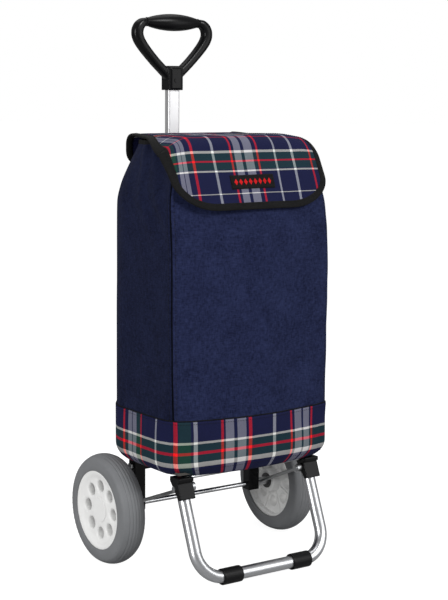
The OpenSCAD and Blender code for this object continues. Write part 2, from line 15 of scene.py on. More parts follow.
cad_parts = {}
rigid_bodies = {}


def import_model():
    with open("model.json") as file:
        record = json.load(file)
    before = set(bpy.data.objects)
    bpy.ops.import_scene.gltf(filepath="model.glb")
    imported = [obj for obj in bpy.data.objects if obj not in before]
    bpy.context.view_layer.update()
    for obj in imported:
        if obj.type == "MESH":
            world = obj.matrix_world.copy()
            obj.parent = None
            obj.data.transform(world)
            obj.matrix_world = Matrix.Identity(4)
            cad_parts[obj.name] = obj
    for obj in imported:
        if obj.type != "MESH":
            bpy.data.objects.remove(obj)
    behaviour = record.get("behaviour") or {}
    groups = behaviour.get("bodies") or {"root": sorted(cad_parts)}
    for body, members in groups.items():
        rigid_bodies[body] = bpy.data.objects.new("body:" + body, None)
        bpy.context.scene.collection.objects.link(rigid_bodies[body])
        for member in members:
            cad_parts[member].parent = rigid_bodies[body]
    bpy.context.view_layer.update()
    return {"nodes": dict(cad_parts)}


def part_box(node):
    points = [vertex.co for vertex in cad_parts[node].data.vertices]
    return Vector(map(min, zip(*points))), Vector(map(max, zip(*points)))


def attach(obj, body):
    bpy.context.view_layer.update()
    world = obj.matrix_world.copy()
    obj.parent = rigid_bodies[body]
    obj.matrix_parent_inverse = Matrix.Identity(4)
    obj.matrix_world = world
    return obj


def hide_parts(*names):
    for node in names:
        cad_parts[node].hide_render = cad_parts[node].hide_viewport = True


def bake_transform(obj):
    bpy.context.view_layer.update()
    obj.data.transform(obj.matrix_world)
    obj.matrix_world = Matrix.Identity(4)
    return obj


for leftover in list(bpy.data.objects):
    bpy.data.objects.remove(leftover, do_unlink=True)
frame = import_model()
nodes = frame["nodes"]
MM = 0.001


def box(name):
    """A node's lowest and highest corner as two arrays, in metres."""
    low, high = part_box(name)
    return np.array(low), np.array(high)


# %% [markdown]
# ## Meshes from grids of points
# Most pieces here are surfaces that a formula describes: a bag wall, a tyre, a strip of tape. A grid of points turns
# into quads with one helper, and a second map in metres goes along, so that a weave or a tartan follows the cloth
# however it hangs. Where a grid closes on itself its last column repeats the first, and merging joins the two while
# each keeps its own map, which is how a sewn seam interrupts a printed pattern.

# %% A grid of points becomes a piece
def make_object(name, mesh):
    piece = bpy.data.objects.new(name, mesh)
    bpy.context.collection.objects.link(piece)
    return piece


def piece_from(name, work):
    """What a bmesh holds, as a piece; the bmesh is freed."""
    mesh = bpy.data.meshes.new(name)
    work.to_mesh(mesh)
    work.free()
    return make_object(name, mesh)


def block(name, place, top=1.0):
    """A unit cube put in place by a matrix, its +Y end narrowed first to a share of its width."""
    work = bmesh.new()
    bmesh.ops.create_cube(work, size=1.0)
    for corner in work.verts:
        if corner.co.y > 0:
            corner.co.x *= top
            corner.co.z *= top
    bmesh.ops.transform(work, matrix=place, verts=work.verts)
    return piece_from(name, work)


def unit(rows):
    """Each row as a direction of length one."""
    return rows / np.linalg.norm(rows, axis=1)[:, None]


def distances(line):
    """How far along a line of points each point is."""
    return np.concatenate([[0], np.cumsum(np.linalg.norm(np.diff(line, axis=0), axis=1))])


def tidy_mesh(mesh, merge=0.02 * MM):
    """Joins doubled points, drops faces without area and turns the rest outwards."""
    work = bmesh.new()
    work.from_mesh(mesh)
    bmesh.ops.remove_doubles(work, verts=work.verts, dist=merge)
    bmesh.ops.dissolve_degenerate(work, edges=work.edges, dist=merge / 2)
    bmesh.ops.recalc_face_normals(work, faces=work.faces)
    work.to_mesh(mesh)
    work.free()
    mesh.polygons.foreach_set("use_smooth", [True] * len(mesh.polygons))
    return mesh


def grid_piece(name, points, cloth=None):
    """points[i, j] are the corners of quads; cloth[i, j] is the same place on the flat cloth, in metres."""
    rows, columns = points.shape[:2]
    corner = np.arange(rows * columns).reshape(rows, columns)
    quads = np.stack([corner[:-1, :-1], corner[1:, :-1], corner[1:, 1:], corner[:-1, 1:]], axis=-1).reshape(-1, 4)
    mesh = bpy.data.meshes.new(name)
    mesh.from_pydata(points.reshape(-1, 3).tolist(), [], quads.tolist())
    if cloth is not None:
        layer = mesh.uv_layers.new(name="cloth")
        layer.data.foreach_set("uv", cloth.reshape(-1, 2)[quads.ravel()].ravel())
    return make_object(name, tidy_mesh(mesh))


def joined(name, pieces):
    """Several pieces as one mesh, each keeping its own shape."""
    work = bmesh.new()
    for piece in pieces:
        work.from_mesh(piece.data)
        bpy.data.objects.remove(piece, do_unlink=True)
    return piece_from(name, work)


def mirrored(name, piece):
    """The same piece on the other side of the trolley."""
    work = bmesh.new()
    work.from_mesh(piece.data)
    bmesh.ops.transform(work, matrix=Matrix.Diagonal((-1, 1, 1, 1)), verts=work.verts)
    bmesh.ops.reverse_faces(work, faces=work.faces)
    return piece_from(name, work)


def dress(piece, material, slot, body, *stands_for):
    """Gives a finished piece its material, its body and the CAD nodes that it stands for; slot is not used."""
    piece.data.materials.clear()
    piece.data.materials.append(material)
    if stands_for:
        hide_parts(*stands_for)
    if body:
        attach(piece, body)
    print(f"{piece.name}: {len(piece.data.polygons)} faces on {body or 'two bodies'}")
    return piece


# %% [markdown]
# ## Finishes as expressions
# A finish is worked out from the place on the surface: threads, grain, scuffs. Written as node links that is hard to
# read, so a socket is wrapped in a small class with the usual operators, and `1 - wear * 2` adds the Math nodes by
# itself. Colours go through Mix and Vector Math, because a Math node would turn them grey.

# %% A socket that does arithmetic
class Wire:
    """An output socket of a finish, with arithmetic."""

    def __init__(self, finish, socket):
        self.finish = finish
        self.socket = socket

    def maths(self, operation, first, second=0.0, third=0.0):
        return self.finish.node("ShaderNodeMath", {"operation": operation}, {0: first, 1: second, 2: third})

    def __add__(self, other):
        return self.maths("ADD", self, other)

    def __radd__(self, other):
        return self.maths("ADD", other, self)

    def __sub__(self, other):
        return self.maths("SUBTRACT", self, other)

    def __rsub__(self, other):
        return self.maths("SUBTRACT", other, self)

    def __mul__(self, other):
        return self.maths("MULTIPLY", self, other)

    def __rmul__(self, other):
        return self.maths("MULTIPLY", other, self)

    def __truediv__(self, other):
        return self.maths("DIVIDE", self, other)

    def __lt__(self, other):
        return self.maths("LESS_THAN", self, other)

    def __gt__(self, other):
        return self.maths("GREATER_THAN", self, other)

    def __abs__(self):
        return self.maths("ABSOLUTE", self)

    def sine(self):
        return self.maths("SINE", self)

    def part(self):
        """What is left after the whole number."""
        return self.maths("FRACT", self)


def socket_name(label):
    """The shader's socket for a keyword such as base_color."""
    return label.replace("_", " ").title().replace("Ior", "IOR")


class Finish:
    """A material whose nodes are written as expressions."""

    def __init__(self, name, **fixed):
        self.material = bpy.data.materials.new(name)
        self.material.use_nodes = True
        self.tree = self.material.node_tree
        self.shader = self.tree.nodes["Principled BSDF"]
        for label, value in fixed.items():
            self.shader.inputs[socket_name(label)].default_value = value

    def node(self, kind, settings=None, sockets=None, out=0):
        node = self.tree.nodes.new(kind)
        for label, value in (settings or {}).items():
            if label == "stops":
                while len(node.color_ramp.elements) < len(value):
                    node.color_ramp.elements.new(1.0)
                for stop, (place, colour) in zip(node.color_ramp.elements, value):
                    stop.position = place
                    stop.color = (*colour, 1)
            elif label == "steps":
                node.color_ramp.interpolation = value
            else:
                setattr(node, label, value)
        for label, value in (sockets or {}).items():
            self.feed(node.inputs[label], value)
        return Wire(self, node.outputs[out])

    def feed(self, socket, value):
        if isinstance(value, Wire):
            self.tree.links.new(value.socket, socket)
        elif socket.type == "RGBA" and len(value) == 3:
            socket.default_value = (*value, 1)
        else:
            socket.default_value = value

    def set(self, **varying):
        """Feeds what changes over the surface to the shader."""
        for label, value in varying.items():
            self.feed(self.shader.inputs[socket_name(label)], value)
        return self

    def place(self):
        """Where a point is on the object, in metres."""
        return self.node("ShaderNodeTexCoord", out="Object")

    def cloth(self):
        """Where a point is on the flat cloth: across and along, in metres."""
        spot = self.node("ShaderNodeUVMap", {"uv_map": "cloth"})
        parts = self.node("ShaderNodeSeparateXYZ", sockets={0: spot})
        return parts, Wire(self, parts.socket.node.outputs[1])

    def grain(self, scale, detail=2.0, stretch=None):
        """Soft noise, 0 to 1, with about scale blotches to the metre."""
        where = self.place()
        if stretch:
            where = self.node("ShaderNodeMapping", sockets={"Vector": where, "Scale": stretch})
        return self.node("ShaderNodeTexNoise", sockets={"Vector": where, "Scale": scale, "Detail": detail})

    def blend(self, share, first, second):
        """From the first colour to the second as share goes from 0 to 1."""
        settings = {"data_type": "RGBA"}
        return self.node("ShaderNodeMix", settings, {0: share, 6: first, 7: second}, out=2)

    def colours(self, operation, first, second):
        return self.node("ShaderNodeVectorMath", {"operation": operation}, {0: first, 1: second})

    def scaled(self, colour, share):
        """A colour made darker or lighter by a share."""
        return self.node("ShaderNodeVectorMath", {"operation": "SCALE"}, {0: colour, 3: share})

    def bump(self, height, depth):
        """Raises the surface by height, 0 to 1, times depth in metres."""
        sockets = {"Height": height, "Distance": depth, "Strength": 1.0}
        self.set(normal=self.node("ShaderNodeBump", sockets=sockets))
        return self


TURN = 2 * math.pi


# %% [markdown]
# ## Metal, plastic and rubber
# Drawn aluminium isn't a mirror: it has fine lines along the tube and a soft satin glow. Moulded plastic has a faint
# grain from its tool, and rubber is dull, with dusty patches. All three are noise at the right scale, feeding colour
# and roughness, with a shallow bump.

# %% Metals
def metal(name, colour, roughness, lines, depth=0.015 * MM):
    """Satin metal, with lines given as the noise's stretch along X, Y and Z."""
    finish = Finish(name, metallic=1.0)
    drawn = finish.grain(60.0, 3.0, lines)
    dull = finish.grain(35.0, 2.0)
    darker = tuple(channel * 0.86 for channel in colour)
    finish.set(base_color=finish.blend(drawn, darker, colour),
               roughness=roughness + (dull - 0.5) * 0.1 + drawn * 0.06)
    return finish.bump(drawn, depth).material


ALONG_MAST = (40.0, 40.0, 0.6)
ALL_ROUND = (8.0, 8.0, 8.0)
aluminium = metal("satin_aluminium", (0.84, 0.84, 0.85), 0.44, ALONG_MAST, 0.003 * MM)
foot_aluminium = metal("satin_foot_aluminium", (0.66, 0.67, 0.69), 0.27, ALL_ROUND, 0.002 * MM)
zinc = metal("zinc_plate", (0.52, 0.53, 0.54), 0.3, ALL_ROUND, 0.03 * MM)
chrome = metal("bright_axle", (0.72, 0.73, 0.75), 0.16, (0.6, 40.0, 40.0))
blackened = metal("blackened_steel", (0.10, 0.10, 0.10), 0.42, ALL_ROUND)


# %% Plastics and rubbers
def moulded(name, colour, roughness, pitch, depth, marbling=0.25, **fixed):
    """Plastic or rubber: its tool's grain pitch blotches to the metre, with slow marbling of its colour."""
    finish = Finish(name, **fixed)
    fine = finish.grain(pitch, 2.0)
    slow = finish.grain(28.0, 3.0)
    low = tuple(channel * (1 - marbling) for channel in colour)
    high = tuple(min(1.0, channel * (1 + marbling)) for channel in colour)
    finish.set(base_color=finish.blend(slow, low, high), roughness=roughness + (slow - 0.5) * 0.12)
    return finish.bump(fine, depth).material


black_plastic = moulded("black_moulding", (0.004, 0.004, 0.0045), 0.25, 1800.0, 0.006 * MM, specular_ior_level=0.16)
soft_grip = moulded("grip_moulding", (0.004, 0.004, 0.0045), 0.3, 2600.0, 0.006 * MM, specular_ior_level=0.14)
white_plastic = moulded("wheel_white", (0.88, 0.88, 0.87), 0.34, 900.0, 0.02 * MM, 0.02)
tyre_rubber = moulded("grey_tyre", (0.185, 0.190, 0.198), 0.55, 1400.0, 0.06 * MM, 0.12, specular_ior_level=0.2)
foot_rubber = moulded("foot_rubber", (0.005, 0.005, 0.0055), 0.4, 2200.0, 0.04 * MM, specular_ior_level=0.18)
stiff_board = moulded("grey_board", (0.060, 0.055, 0.050), 0.8, 700.0, 0.1 * MM, 0.35)


# %% [markdown]
# ## Navy cloth and tape
# The bag is a plain-woven polyester. Its threads cross over and under, so the height is the product of two sines,
# one along each thread, laid out on the flat cloth's own map. Slow mottling makes the cloth look worn in, and a
# little sheen stands for the loose fibres.

# %% Woven cloth
def weave(finish, pitch):
    """Over and under, 0 to 1, of a plain weave whose threads are pitch apart."""
    across, along = finish.cloth()
    over = (across * (TURN / 2 / pitch)).sine() * (along * (TURN / 2 / pitch)).sine()
    return abs(over)


BLACK = (0.0, 0.0, 0.0)
# Painted shade: the share by which the cloth left of the front seam is darkened, as if turned from the light.
SIDE_PAINTED_SHADE = 0.42
SEAM_DARK = 0.9
SLUB_ALONG, SLUB_ACROSS = (1.0, 1.0, 7.0), (7.0, 7.0, 1.0)


def plain_cloth(name, dark, light, pitch, depth, sheen, seam_and_side_shade=False):
    """One colour of thread. When asked, the cloth left of the front seam is darkened by painted shade."""
    finish = Finish(name, sheen_weight=sheen, sheen_roughness=0.45, specular_ior_level=0.06)
    slubs = finish.grain(130.0, 3.0, SLUB_ALONG) * 0.5 + finish.grain(130.0, 3.0, SLUB_ACROSS) * 0.5
    mottle = finish.grain(26.0, 4.0) * 0.18 + finish.grain(210.0, 3.0) * 0.27 + slubs * 0.55
    threads = weave(finish, pitch)
    colour = finish.blend((mottle - 0.5) * 4.6 + 0.5, dark, light)
    colour = finish.blend(threads * 0.3, colour, dark)
    if seam_and_side_shade:
        across = finish.cloth()[0]
        seam = (across < 1.4 * MM) - (across < -1.6 * MM)
        # Painted shade: the cloth left of the front seam is darkened.
        colour = finish.blend((across < 0.0) * SIDE_PAINTED_SHADE, colour, BLACK)
        colour = finish.blend(seam * SEAM_DARK, colour, BLACK)
    finish.set(base_color=colour, roughness=0.72 + mottle * 0.16)
    return finish.bump(threads + mottle * 0.6, depth).material


navy_cloth = plain_cloth("navy_cloth", (0.0060, 0.0085, 0.0300), (0.0240, 0.0320, 0.0900),
                         1.1 * MM, 0.16 * MM, 0.02, seam_and_side_shade=True)
black_tape = plain_cloth("black_tape", (0.0070, 0.0070, 0.0072), (0.0125, 0.0125, 0.0128),
                         1.4 * MM, 0.18 * MM, 0.02)
red_thread = plain_cloth("red_thread", (0.42, 0.008, 0.010), (0.62, 0.016, 0.018), 0.6 * MM, 0.05 * MM, 0.0)
black_thread = plain_cloth("black_thread", (0.009, 0.009, 0.010), (0.02, 0.02, 0.021), 0.6 * MM, 0.05 * MM, 0.0)


# %% [markdown]
# ## Tartan
# A tartan is two sets of coloured threads crossing. Where they cross, half of each shows, so the cloth's colour is
# the mean of the two threads, plus a little of their product, because pale threads over pale ones look brighter than
# either alone. Each set is a ramp with hard steps, listed as (from, to, colour) in mm along the cloth. A fine
# diagonal line stands for the twill.

# %% Thread colours and the two setts
NAVY = (0.010, 0.012, 0.044)
GREEN = (0.012, 0.046, 0.034)
RED = (0.60, 0.012, 0.016)
GREY = (0.27, 0.27, 0.32)
CREAM = (0.58, 0.57, 0.50)
PALE = (0.40, 0.41, 0.44)
BAND_FRONT = [(0, 6, RED), (7, 29, GREEN), (33.5, 40.5, PALE), (82, 86, RED), (90, 105, GREY), (111, 127, GREY),
              (132, 138, RED), (178.5, 183.5, PALE), (214, 218, RED), (222, 237, GREY), (241, 253, GREY),
              (257, 260, RED), (292.5, 295.5, PALE)]
BAND_LEFT = [(-171, -167, PALE), (-130.5, -125.5, RED), (-116, -105.5, GREY), (-103, -92, GREY), (-92, -80, GREEN),
             (-79.8, -76.2, RED), (-38, -34, PALE)]
BAND_UP = [(186.8, 191.6, CREAM), (191.6, 202.7, GREEN), (202.7, 207.5, RED), (207.5, 220, GREEN),
           (220, 224, CREAM)]
REPEAT = 297
TWILL = 1.3 * MM
FLAP_ACROSS = [(-150, -145.5, RED), (-145.5, -137, GREEN), (-134, -127, GREY), (-125, -118, GREY), (-107, -103, RED),
               (-68.5, -63.5, PALE), (-34, -30, RED), (-26, -13, GREY), (-6, 9, GREY), (16, 20, RED),
               (50, 54.5, PALE), (85, 89.5, PALE), (122, 125, RED)]
FLAP_ALONG = [(24.8, 26.2, CREAM), (60, 63.3, CREAM), (63.9, 76, GREEN), (76, 79.5, RED), (79.5, 90.5, GREEN),
              (91.5, 94.8, CREAM), (121.5, 123.5, RED), (152, 154, CREAM), (186, 189, CREAM), (190, 202, GREEN),
              (202, 205, RED), (205, 217, GREEN), (218, 221, CREAM), (249, 251, RED), (290, 293, CREAM)]


def stripes(finish, along, low, high, bands):
    """The thread colours met along a line, from a place in metres; low and high are the ramp's ends in mm."""
    edges = [(0.0, NAVY)]
    for start, end, colour in bands:
        if edges[-1][0] >= (start - low) / (high - low) - 1e-4:
            edges.pop()
        edges += [((start - low) / (high - low), colour), ((end - low) / (high - low), NAVY)]
    share = (along / MM - low) / (high - low)
    return finish.node("ShaderNodeValToRGB", {"steps": "CONSTANT", "stops": edges}, {"Fac": share})


def woven_colour(finish, warp, weft):
    """Warp and weft colours as one cloth, with its twill line and a slow mottle."""
    mean = finish.scaled(finish.colours("ADD", warp, weft), 0.5)
    extra = finish.scaled(finish.colours("MULTIPLY", warp, weft), 1.2)
    across, along = finish.cloth()
    twill = ((across + along) * (TURN / TWILL)).sine() * 0.5 + 0.5
    mottle = finish.grain(45.0, 4.0)
    light = 0.78 + twill * 0.24 + mottle * 0.22
    finish.set(base_color=finish.scaled(finish.colours("ADD", mean, extra), light))
    finish.set(roughness=0.7 + mottle * 0.2)
    return finish.bump(twill * 0.5 + weave(finish, 1.1 * MM) + mottle * 0.5, 0.16 * MM).material


def band_tartan():
    finish = Finish("tartan_band_cloth", sheen_weight=0.02, sheen_roughness=0.45, specular_ior_level=0.06)
    across, up = finish.cloth()
    again = across / (REPEAT * MM)
    front = stripes(finish, again.part() * (REPEAT * MM), 0, REPEAT, BAND_FRONT)
    left = stripes(finish, across, -260, 0, BAND_LEFT)
    return woven_colour(finish, finish.blend(across < 0.0, front, left), stripes(finish, up, 160, 260, BAND_UP))


def flap_tartan():
    finish = Finish("tartan_flap_cloth", sheen_weight=0.02, sheen_roughness=0.45, specular_ior_level=0.06)
    across, along = finish.cloth()
    return woven_colour(finish, stripes(finish, across, -152, 152, FLAP_ACROSS),
                        stripes(finish, along, 0, 340, FLAP_ALONG))


band_cloth = band_tartan()
flap_cloth = flap_tartan()


# %% [markdown]
# ## Node trees for whatever repeats
# Stitches, wheel sectors, tread blocks and the label's diamonds are one shape many times over. A tree of Geometry
# Nodes makes the copies, so that a count or a pitch is one named input. The tree's result is written to a plain mesh
# at once, because a finished piece carries no live modifier.

# %% A tree and what it grows
class Tree:
    """A Geometry Nodes tree with named inputs, ending in real geometry with its material set."""

    def __init__(self, name, **inputs):
        kinds = {float: "NodeSocketFloat", int: "NodeSocketInt", tuple: "NodeSocketVector"}
        self.group = bpy.data.node_groups.new(name, "GeometryNodeTree")
        face = self.group.interface
        face.new_socket("Geometry", in_out="INPUT", socket_type="NodeSocketGeometry")
        face.new_socket("Geometry", in_out="OUTPUT", socket_type="NodeSocketGeometry")
        self.keys = {}
        for label, value in inputs.items():
            socket = face.new_socket(label, in_out="INPUT", socket_type=kinds[type(value)])
            socket.default_value = value
            self.keys[label] = socket.identifier
        socket = face.new_socket("material", in_out="INPUT", socket_type="NodeSocketMaterial")
        self.keys["material"] = socket.identifier
        self.given = self.group.nodes.new("NodeGroupInput")

    def node(self, kind, settings=None, sockets=None, out=0):
        node = self.group.nodes.new(kind)
        for label, value in (settings or {}).items():
            setattr(node, label, value)
        for label, value in (sockets or {}).items():
            if isinstance(value, bpy.types.NodeSocket):
                self.group.links.new(value, node.inputs[label])
            else:
                node.inputs[label].default_value = value
        return node.outputs[out]

    def input(self, label):
        return self.given.outputs[label]

    def end(self, geometry):
        real = self.node("GeometryNodeRealizeInstances", sockets={0: geometry})
        done = self.node("GeometryNodeSetMaterial", sockets={0: real, "Material": self.input("material")})
        self.group.links.new(done, self.group.nodes.new("NodeGroupOutput").inputs[0])
        return self

    def grow(self, name, source, material, **values):
        """A new piece that the tree makes from the source piece, which is used up."""
        modifier = source.modifiers.new(name, "NODES")
        modifier.node_group = self.group
        modifier[self.keys["material"]] = material
        for label, value in values.items():
            modifier[self.keys[label]] = value
        return settled(name, source)


def settled(name, source):
    """The source with its modifiers worked out, as a plain mesh; the source goes."""
    source.update_tag()
    shape = source.evaluated_get(bpy.context.evaluated_depsgraph_get())
    mesh = bpy.data.meshes.new_from_object(shape)
    mesh.name = name
    bpy.data.objects.remove(source, do_unlink=True)
    return make_object(name, mesh)


def polyline(name, points, closed=False):
    """A line of edges for a tree to follow."""
    count = len(points)
    edges = [(i, (i + 1) % count) for i in range(count if closed else count - 1)]
    mesh = bpy.data.meshes.new(name)
    mesh.from_pydata([tuple(map(float, point)) for point in points], edges, [])
    return make_object(name, mesh)


# %% Round the axle, along a seam, in a row, and swept
def round_tree():
    """Copies of the source turned about the X axis."""
    tree = Tree("round_the_axle", count=8)
    spots = tree.node("GeometryNodePoints", sockets={"Count": tree.input("count")})
    index = tree.node("GeometryNodeInputIndex")
    step = tree.node("ShaderNodeMath", {"operation": "DIVIDE"}, {0: TURN, 1: tree.input("count")})
    angle = tree.node("ShaderNodeMath", {"operation": "MULTIPLY"}, {0: index, 1: step})
    turn = tree.node("ShaderNodeCombineXYZ", sockets={"X": angle})
    return tree.end(tree.node("GeometryNodeInstanceOnPoints", sockets={
        "Points": spots, "Instance": tree.input("Geometry"), "Rotation": turn}))


def stitch_tree():
    """Little capsules of thread at an even pitch along the source's edges."""
    tree = Tree("stitches", pitch=5.0 * MM, size=(1.7 * MM, 0.45 * MM, 0.45 * MM))
    line = tree.node("GeometryNodeMeshToCurve", sockets={0: tree.input("Geometry")})
    beads = tree.node("GeometryNodeCurveToPoints", {"mode": "LENGTH"}, {0: line, "Length": tree.input("pitch")})
    along = beads.node.outputs["Tangent"]
    turn = tree.node("FunctionNodeAlignRotationToVector", {"axis": "X"}, {"Vector": along})
    thread = tree.node("GeometryNodeMeshUVSphere", sockets={"Segments": 6, "Rings": 4, "Radius": 1.0})
    return tree.end(tree.node("GeometryNodeInstanceOnPoints", sockets={
        "Points": beads, "Instance": thread, "Rotation": turn, "Scale": tree.input("size")}))


def row_tree():
    """Copies of the source in a straight row."""
    tree = Tree("row", count=9, step=(8.0 * MM, 0.0, 0.0))
    spots = tree.node("GeometryNodeMeshLine", sockets={"Count": tree.input("count"), "Offset": tree.input("step")})
    return tree.end(tree.node("GeometryNodeInstanceOnPoints", sockets={
        "Points": spots, "Instance": tree.input("Geometry")}))


def sweep_tree():
    """An oval section swept along the source's edges."""
    tree = Tree("sweep", wide=2.0 * MM, deep=2.0 * MM, sides=16)
    line = tree.node("GeometryNodeMeshToCurve", sockets={0: tree.input("Geometry")})
    section = tree.node("GeometryNodeCurvePrimitiveCircle", sockets={
        "Resolution": tree.input("sides"), "Radius": 0.5})
    size = tree.node("ShaderNodeCombineXYZ", sockets={"X": tree.input("wide"), "Y": tree.input("deep"), "Z": 1.0})
    oval = tree.node("GeometryNodeTransform", sockets={"Geometry": section, "Scale": size})
    return tree.end(tree.node("GeometryNodeCurveToMesh", sockets={
        "Curve": line, "Profile Curve": oval, "Fill Caps": True}))


ROUND, STITCH, ROW, SWEEP = round_tree(), stitch_tree(), row_tree(), sweep_tree()


def stitched(name, points, material, pitch=5.0 * MM, length=3.4 * MM, thick=0.9 * MM, closed=False):
    """A line of thread through points on the cloth."""
    size = (length / 2, thick / 2, thick / 2)
    return STITCH.grow(name, polyline(name + "_line", points, closed), material, pitch=pitch, size=size)


def thickened(name, piece, thickness):
    """The sheet with a real thickness, all of it behind its face."""
    modifier = piece.modifiers.new("thick", "SOLIDIFY")
    modifier.thickness = thickness
    modifier.offset = -1.0
    return settled(name, piece)


# %% [markdown]
# ## The wheels
# Each wheel is a white moulded disc with eight round holes and a grey foamed tyre. The disc is one 45 degree sector,
# a net stretched from a hole's edge to the sector's border, turned eight times about the axle. Its holes have wide
# soft edges, as a moulding needs to leave its tool. The web is deep, so the holes are short tubes that show from
# behind too, with a low rib between each pair, and the barrel and the hub stand round it.

# %% A sector of the disc, round one hole
wheel_low, wheel_high = box("right_tyre")
rim_low, rim_high = box("right_rim")
wheel_centre = (wheel_low + wheel_high) / 2
TYRE_R = (wheel_high[2] - wheel_low[2]) / 2
TYRE_HALF = (wheel_high[0] - wheel_low[0]) / 2
RIM_R = (rim_high[2] - rim_low[2]) / 2
RIM_HALF = 18 * MM
RIM_WALL = 4 * MM
HUB_R = 21 * MM
HUB_OUT = 15.6 * MM
HOLE_R = 9.5 * MM
HOLE_RING = 39 * MM
WEB_BACK = -7 * MM
BORE_R = 7.05 * MM
SECTOR = TURN / 8


def dish(radius):
    """How far out the disc's front face is at a distance from the axle."""
    places = np.array([0, 20, 23, 36, 50, 53.5, 56, 60, 62.4, 64]) * MM
    heights = np.array([15.6, 15.6, 15.0, 14.9, 15.6, 16.4, 18.6, 20.2, 20.7, 20.3]) * MM
    return np.interp(radius, places, heights)


def sector_border(inner, outer, count=12):
    """Points round a sector, as (y, z), starting and ending at the same corner."""
    half = SECTOR / 2
    turns = np.linspace(-half, half, count + 1)
    radii = np.linspace(inner, outer, count + 1)
    ring_out = [(outer * math.cos(a), outer * math.sin(a)) for a in turns]
    side_back = [(r * math.cos(half), r * math.sin(half)) for r in radii[::-1]]
    ring_in = [(inner * math.cos(a), inner * math.sin(a)) for a in turns[::-1]]
    side_out = [(r * math.cos(half), -r * math.sin(half)) for r in radii]
    return np.array(ring_out + side_back[1:] + ring_in[1:] + side_out[1:])


def sector_net(inner, outer, rings):
    """rings x border points, from the hole's edge to the border."""
    border = sector_border(inner, outer)
    centre = np.array([HOLE_RING, 0.0])
    away = border - centre
    hole = centre + away / np.linalg.norm(away, axis=1)[:, None] * HOLE_R
    share = np.array(rings)[:, None, None]
    return hole * (1 - share) + border * share


def disc_sector():
    """Front face, hole wall and back face of one sector, with the axle along X."""
    rings = [0, 0.05, 0.1, 0.16, 0.23, 0.32, 0.43, 0.55, 0.68, 0.8, 0.9, 1.0]
    flat = sector_net(HUB_R, RIM_R, rings)
    clear = np.linalg.norm(flat - [HOLE_RING, 0], axis=2) - HOLE_R
    funnel = 4.5 * MM
    fall = funnel * (1 - np.sqrt(np.clip(1 - np.clip(1 - clear / funnel, 0, 1) ** 2, 0, 1)))
    height = dish(np.linalg.norm(flat, axis=2)) - fall * 0.8
    front = np.dstack([height, flat])
    back_flat = sector_net(HUB_R, RIM_R - RIM_WALL, rings[::3] + [1.0])
    back = np.dstack([np.full(back_flat.shape[:2], WEB_BACK), back_flat])
    wall = np.stack([front[0], back[0]])
    return joined("disc_sector", [grid_piece("front", front), grid_piece("wall", wall), grid_piece("back", back)])


def revolved(name, profile, count=128):
    """A surface turned about X from (x, radius) pairs, with a map round and across."""
    profile = np.array(profile)
    turns = np.linspace(0, TURN, count + 1)
    x = np.repeat(profile[:, 0][:, None], count + 1, axis=1)
    y = profile[:, 1][:, None] * np.cos(turns)
    z = profile[:, 1][:, None] * np.sin(turns)
    across = np.repeat(profile[:, 0][:, None], count + 1, axis=1)
    around = np.repeat((turns * TYRE_R)[None, :], len(profile), axis=0)
    return grid_piece(name, np.dstack([x, y, z]), np.dstack([around, across]))


# %% The disc, its ribs and its barrel
def wheel_disc():
    sectors = ROUND.grow("disc_sectors", disc_sector(), white_plastic, count=8)
    barrel = revolved("barrel", [(20.3 * MM, RIM_R), (-RIM_HALF, RIM_R), (-RIM_HALF, RIM_R - RIM_WALL),
                                 (WEB_BACK, RIM_R - RIM_WALL)])
    hub = revolved("hub", [(WEB_BACK, HUB_R), (-21.2 * MM, HUB_R), (-22 * MM, HUB_R - 0.8 * MM), (-22 * MM, BORE_R),
                           (9 * MM, BORE_R), (9 * MM, 13 * MM), (HUB_OUT, 13 * MM), (HUB_OUT, HUB_R)])
    middle = (HUB_R + RIM_R - RIM_WALL) / 2
    long = RIM_R - RIM_WALL - HUB_R + 1 * MM
    size = Matrix.Diagonal((3 * MM, long, 2.4 * MM, 1))
    place = Matrix.Rotation(SECTOR / 2, 4, "X") @ Matrix.Translation((WEB_BACK - 0.5 * MM, middle, 0))
    ribs = ROUND.grow("ribs", block("rib", place @ size), white_plastic, count=8)
    disc = joined("wheel_disc", [sectors, barrel, hub])
    tidy_mesh(disc.data, 0.03 * MM)
    return joined("wheel_disc", [disc, ribs])


# %% [markdown]
# The tyre's side is nearly flat, its shoulder carries small serrations about 9 mm apart, and its crown has shallow
# grooves all round with slanted nicks between them.

# %% The tyre and its tread
CROWN_R = 30 * MM


def tyre():
    edge = math.asin(TYRE_HALF / CROWN_R)
    profile = [(-RIM_HALF, RIM_R), (-TYRE_HALF + 0.5 * MM, RIM_R), (-TYRE_HALF, RIM_R + 1.2 * MM),
               (-TYRE_HALF, RIM_R + 9 * MM)]
    for share in np.linspace(-1, 1, 81):
        x = CROWN_R * math.sin(edge * share)
        r = TYRE_R - CROWN_R + CROWN_R * math.cos(edge * share)
        groove = sum(math.exp(-((abs(x) - place) / (0.75 * MM)) ** 4) for place in (0.0, 5.5 * MM, 11 * MM))
        round_off = 3.2 * MM * max(0.0, (abs(share) - 0.8) / 0.2) ** 2
        x_in = math.copysign(0.6 * MM * max(0.0, (abs(share) - 0.9) / 0.1) ** 2, x)
        profile.append((x - x_in, r - groove * 0.7 * MM - round_off))
    profile += [(TYRE_HALF, RIM_R + 9 * MM), (TYRE_HALF, RIM_R + 1.2 * MM), (TYRE_HALF - 0.8 * MM, RIM_R + 0.2 * MM),
                (RIM_HALF, RIM_R)]
    return revolved("tyre", profile, 160)


def tread_block(x, r, size, turn, lean):
    """One low block of the tread, standing on the crown."""
    place = (Matrix.Rotation(turn, 4, "X") @ Matrix.Translation((x, r, 0)) @ Matrix.Rotation(lean, 4, "Z")
             @ Matrix.Rotation(0.6, 4, "Y") @ Matrix.Diagonal((*size, 1)))
    return block("block", place, top=0.7)


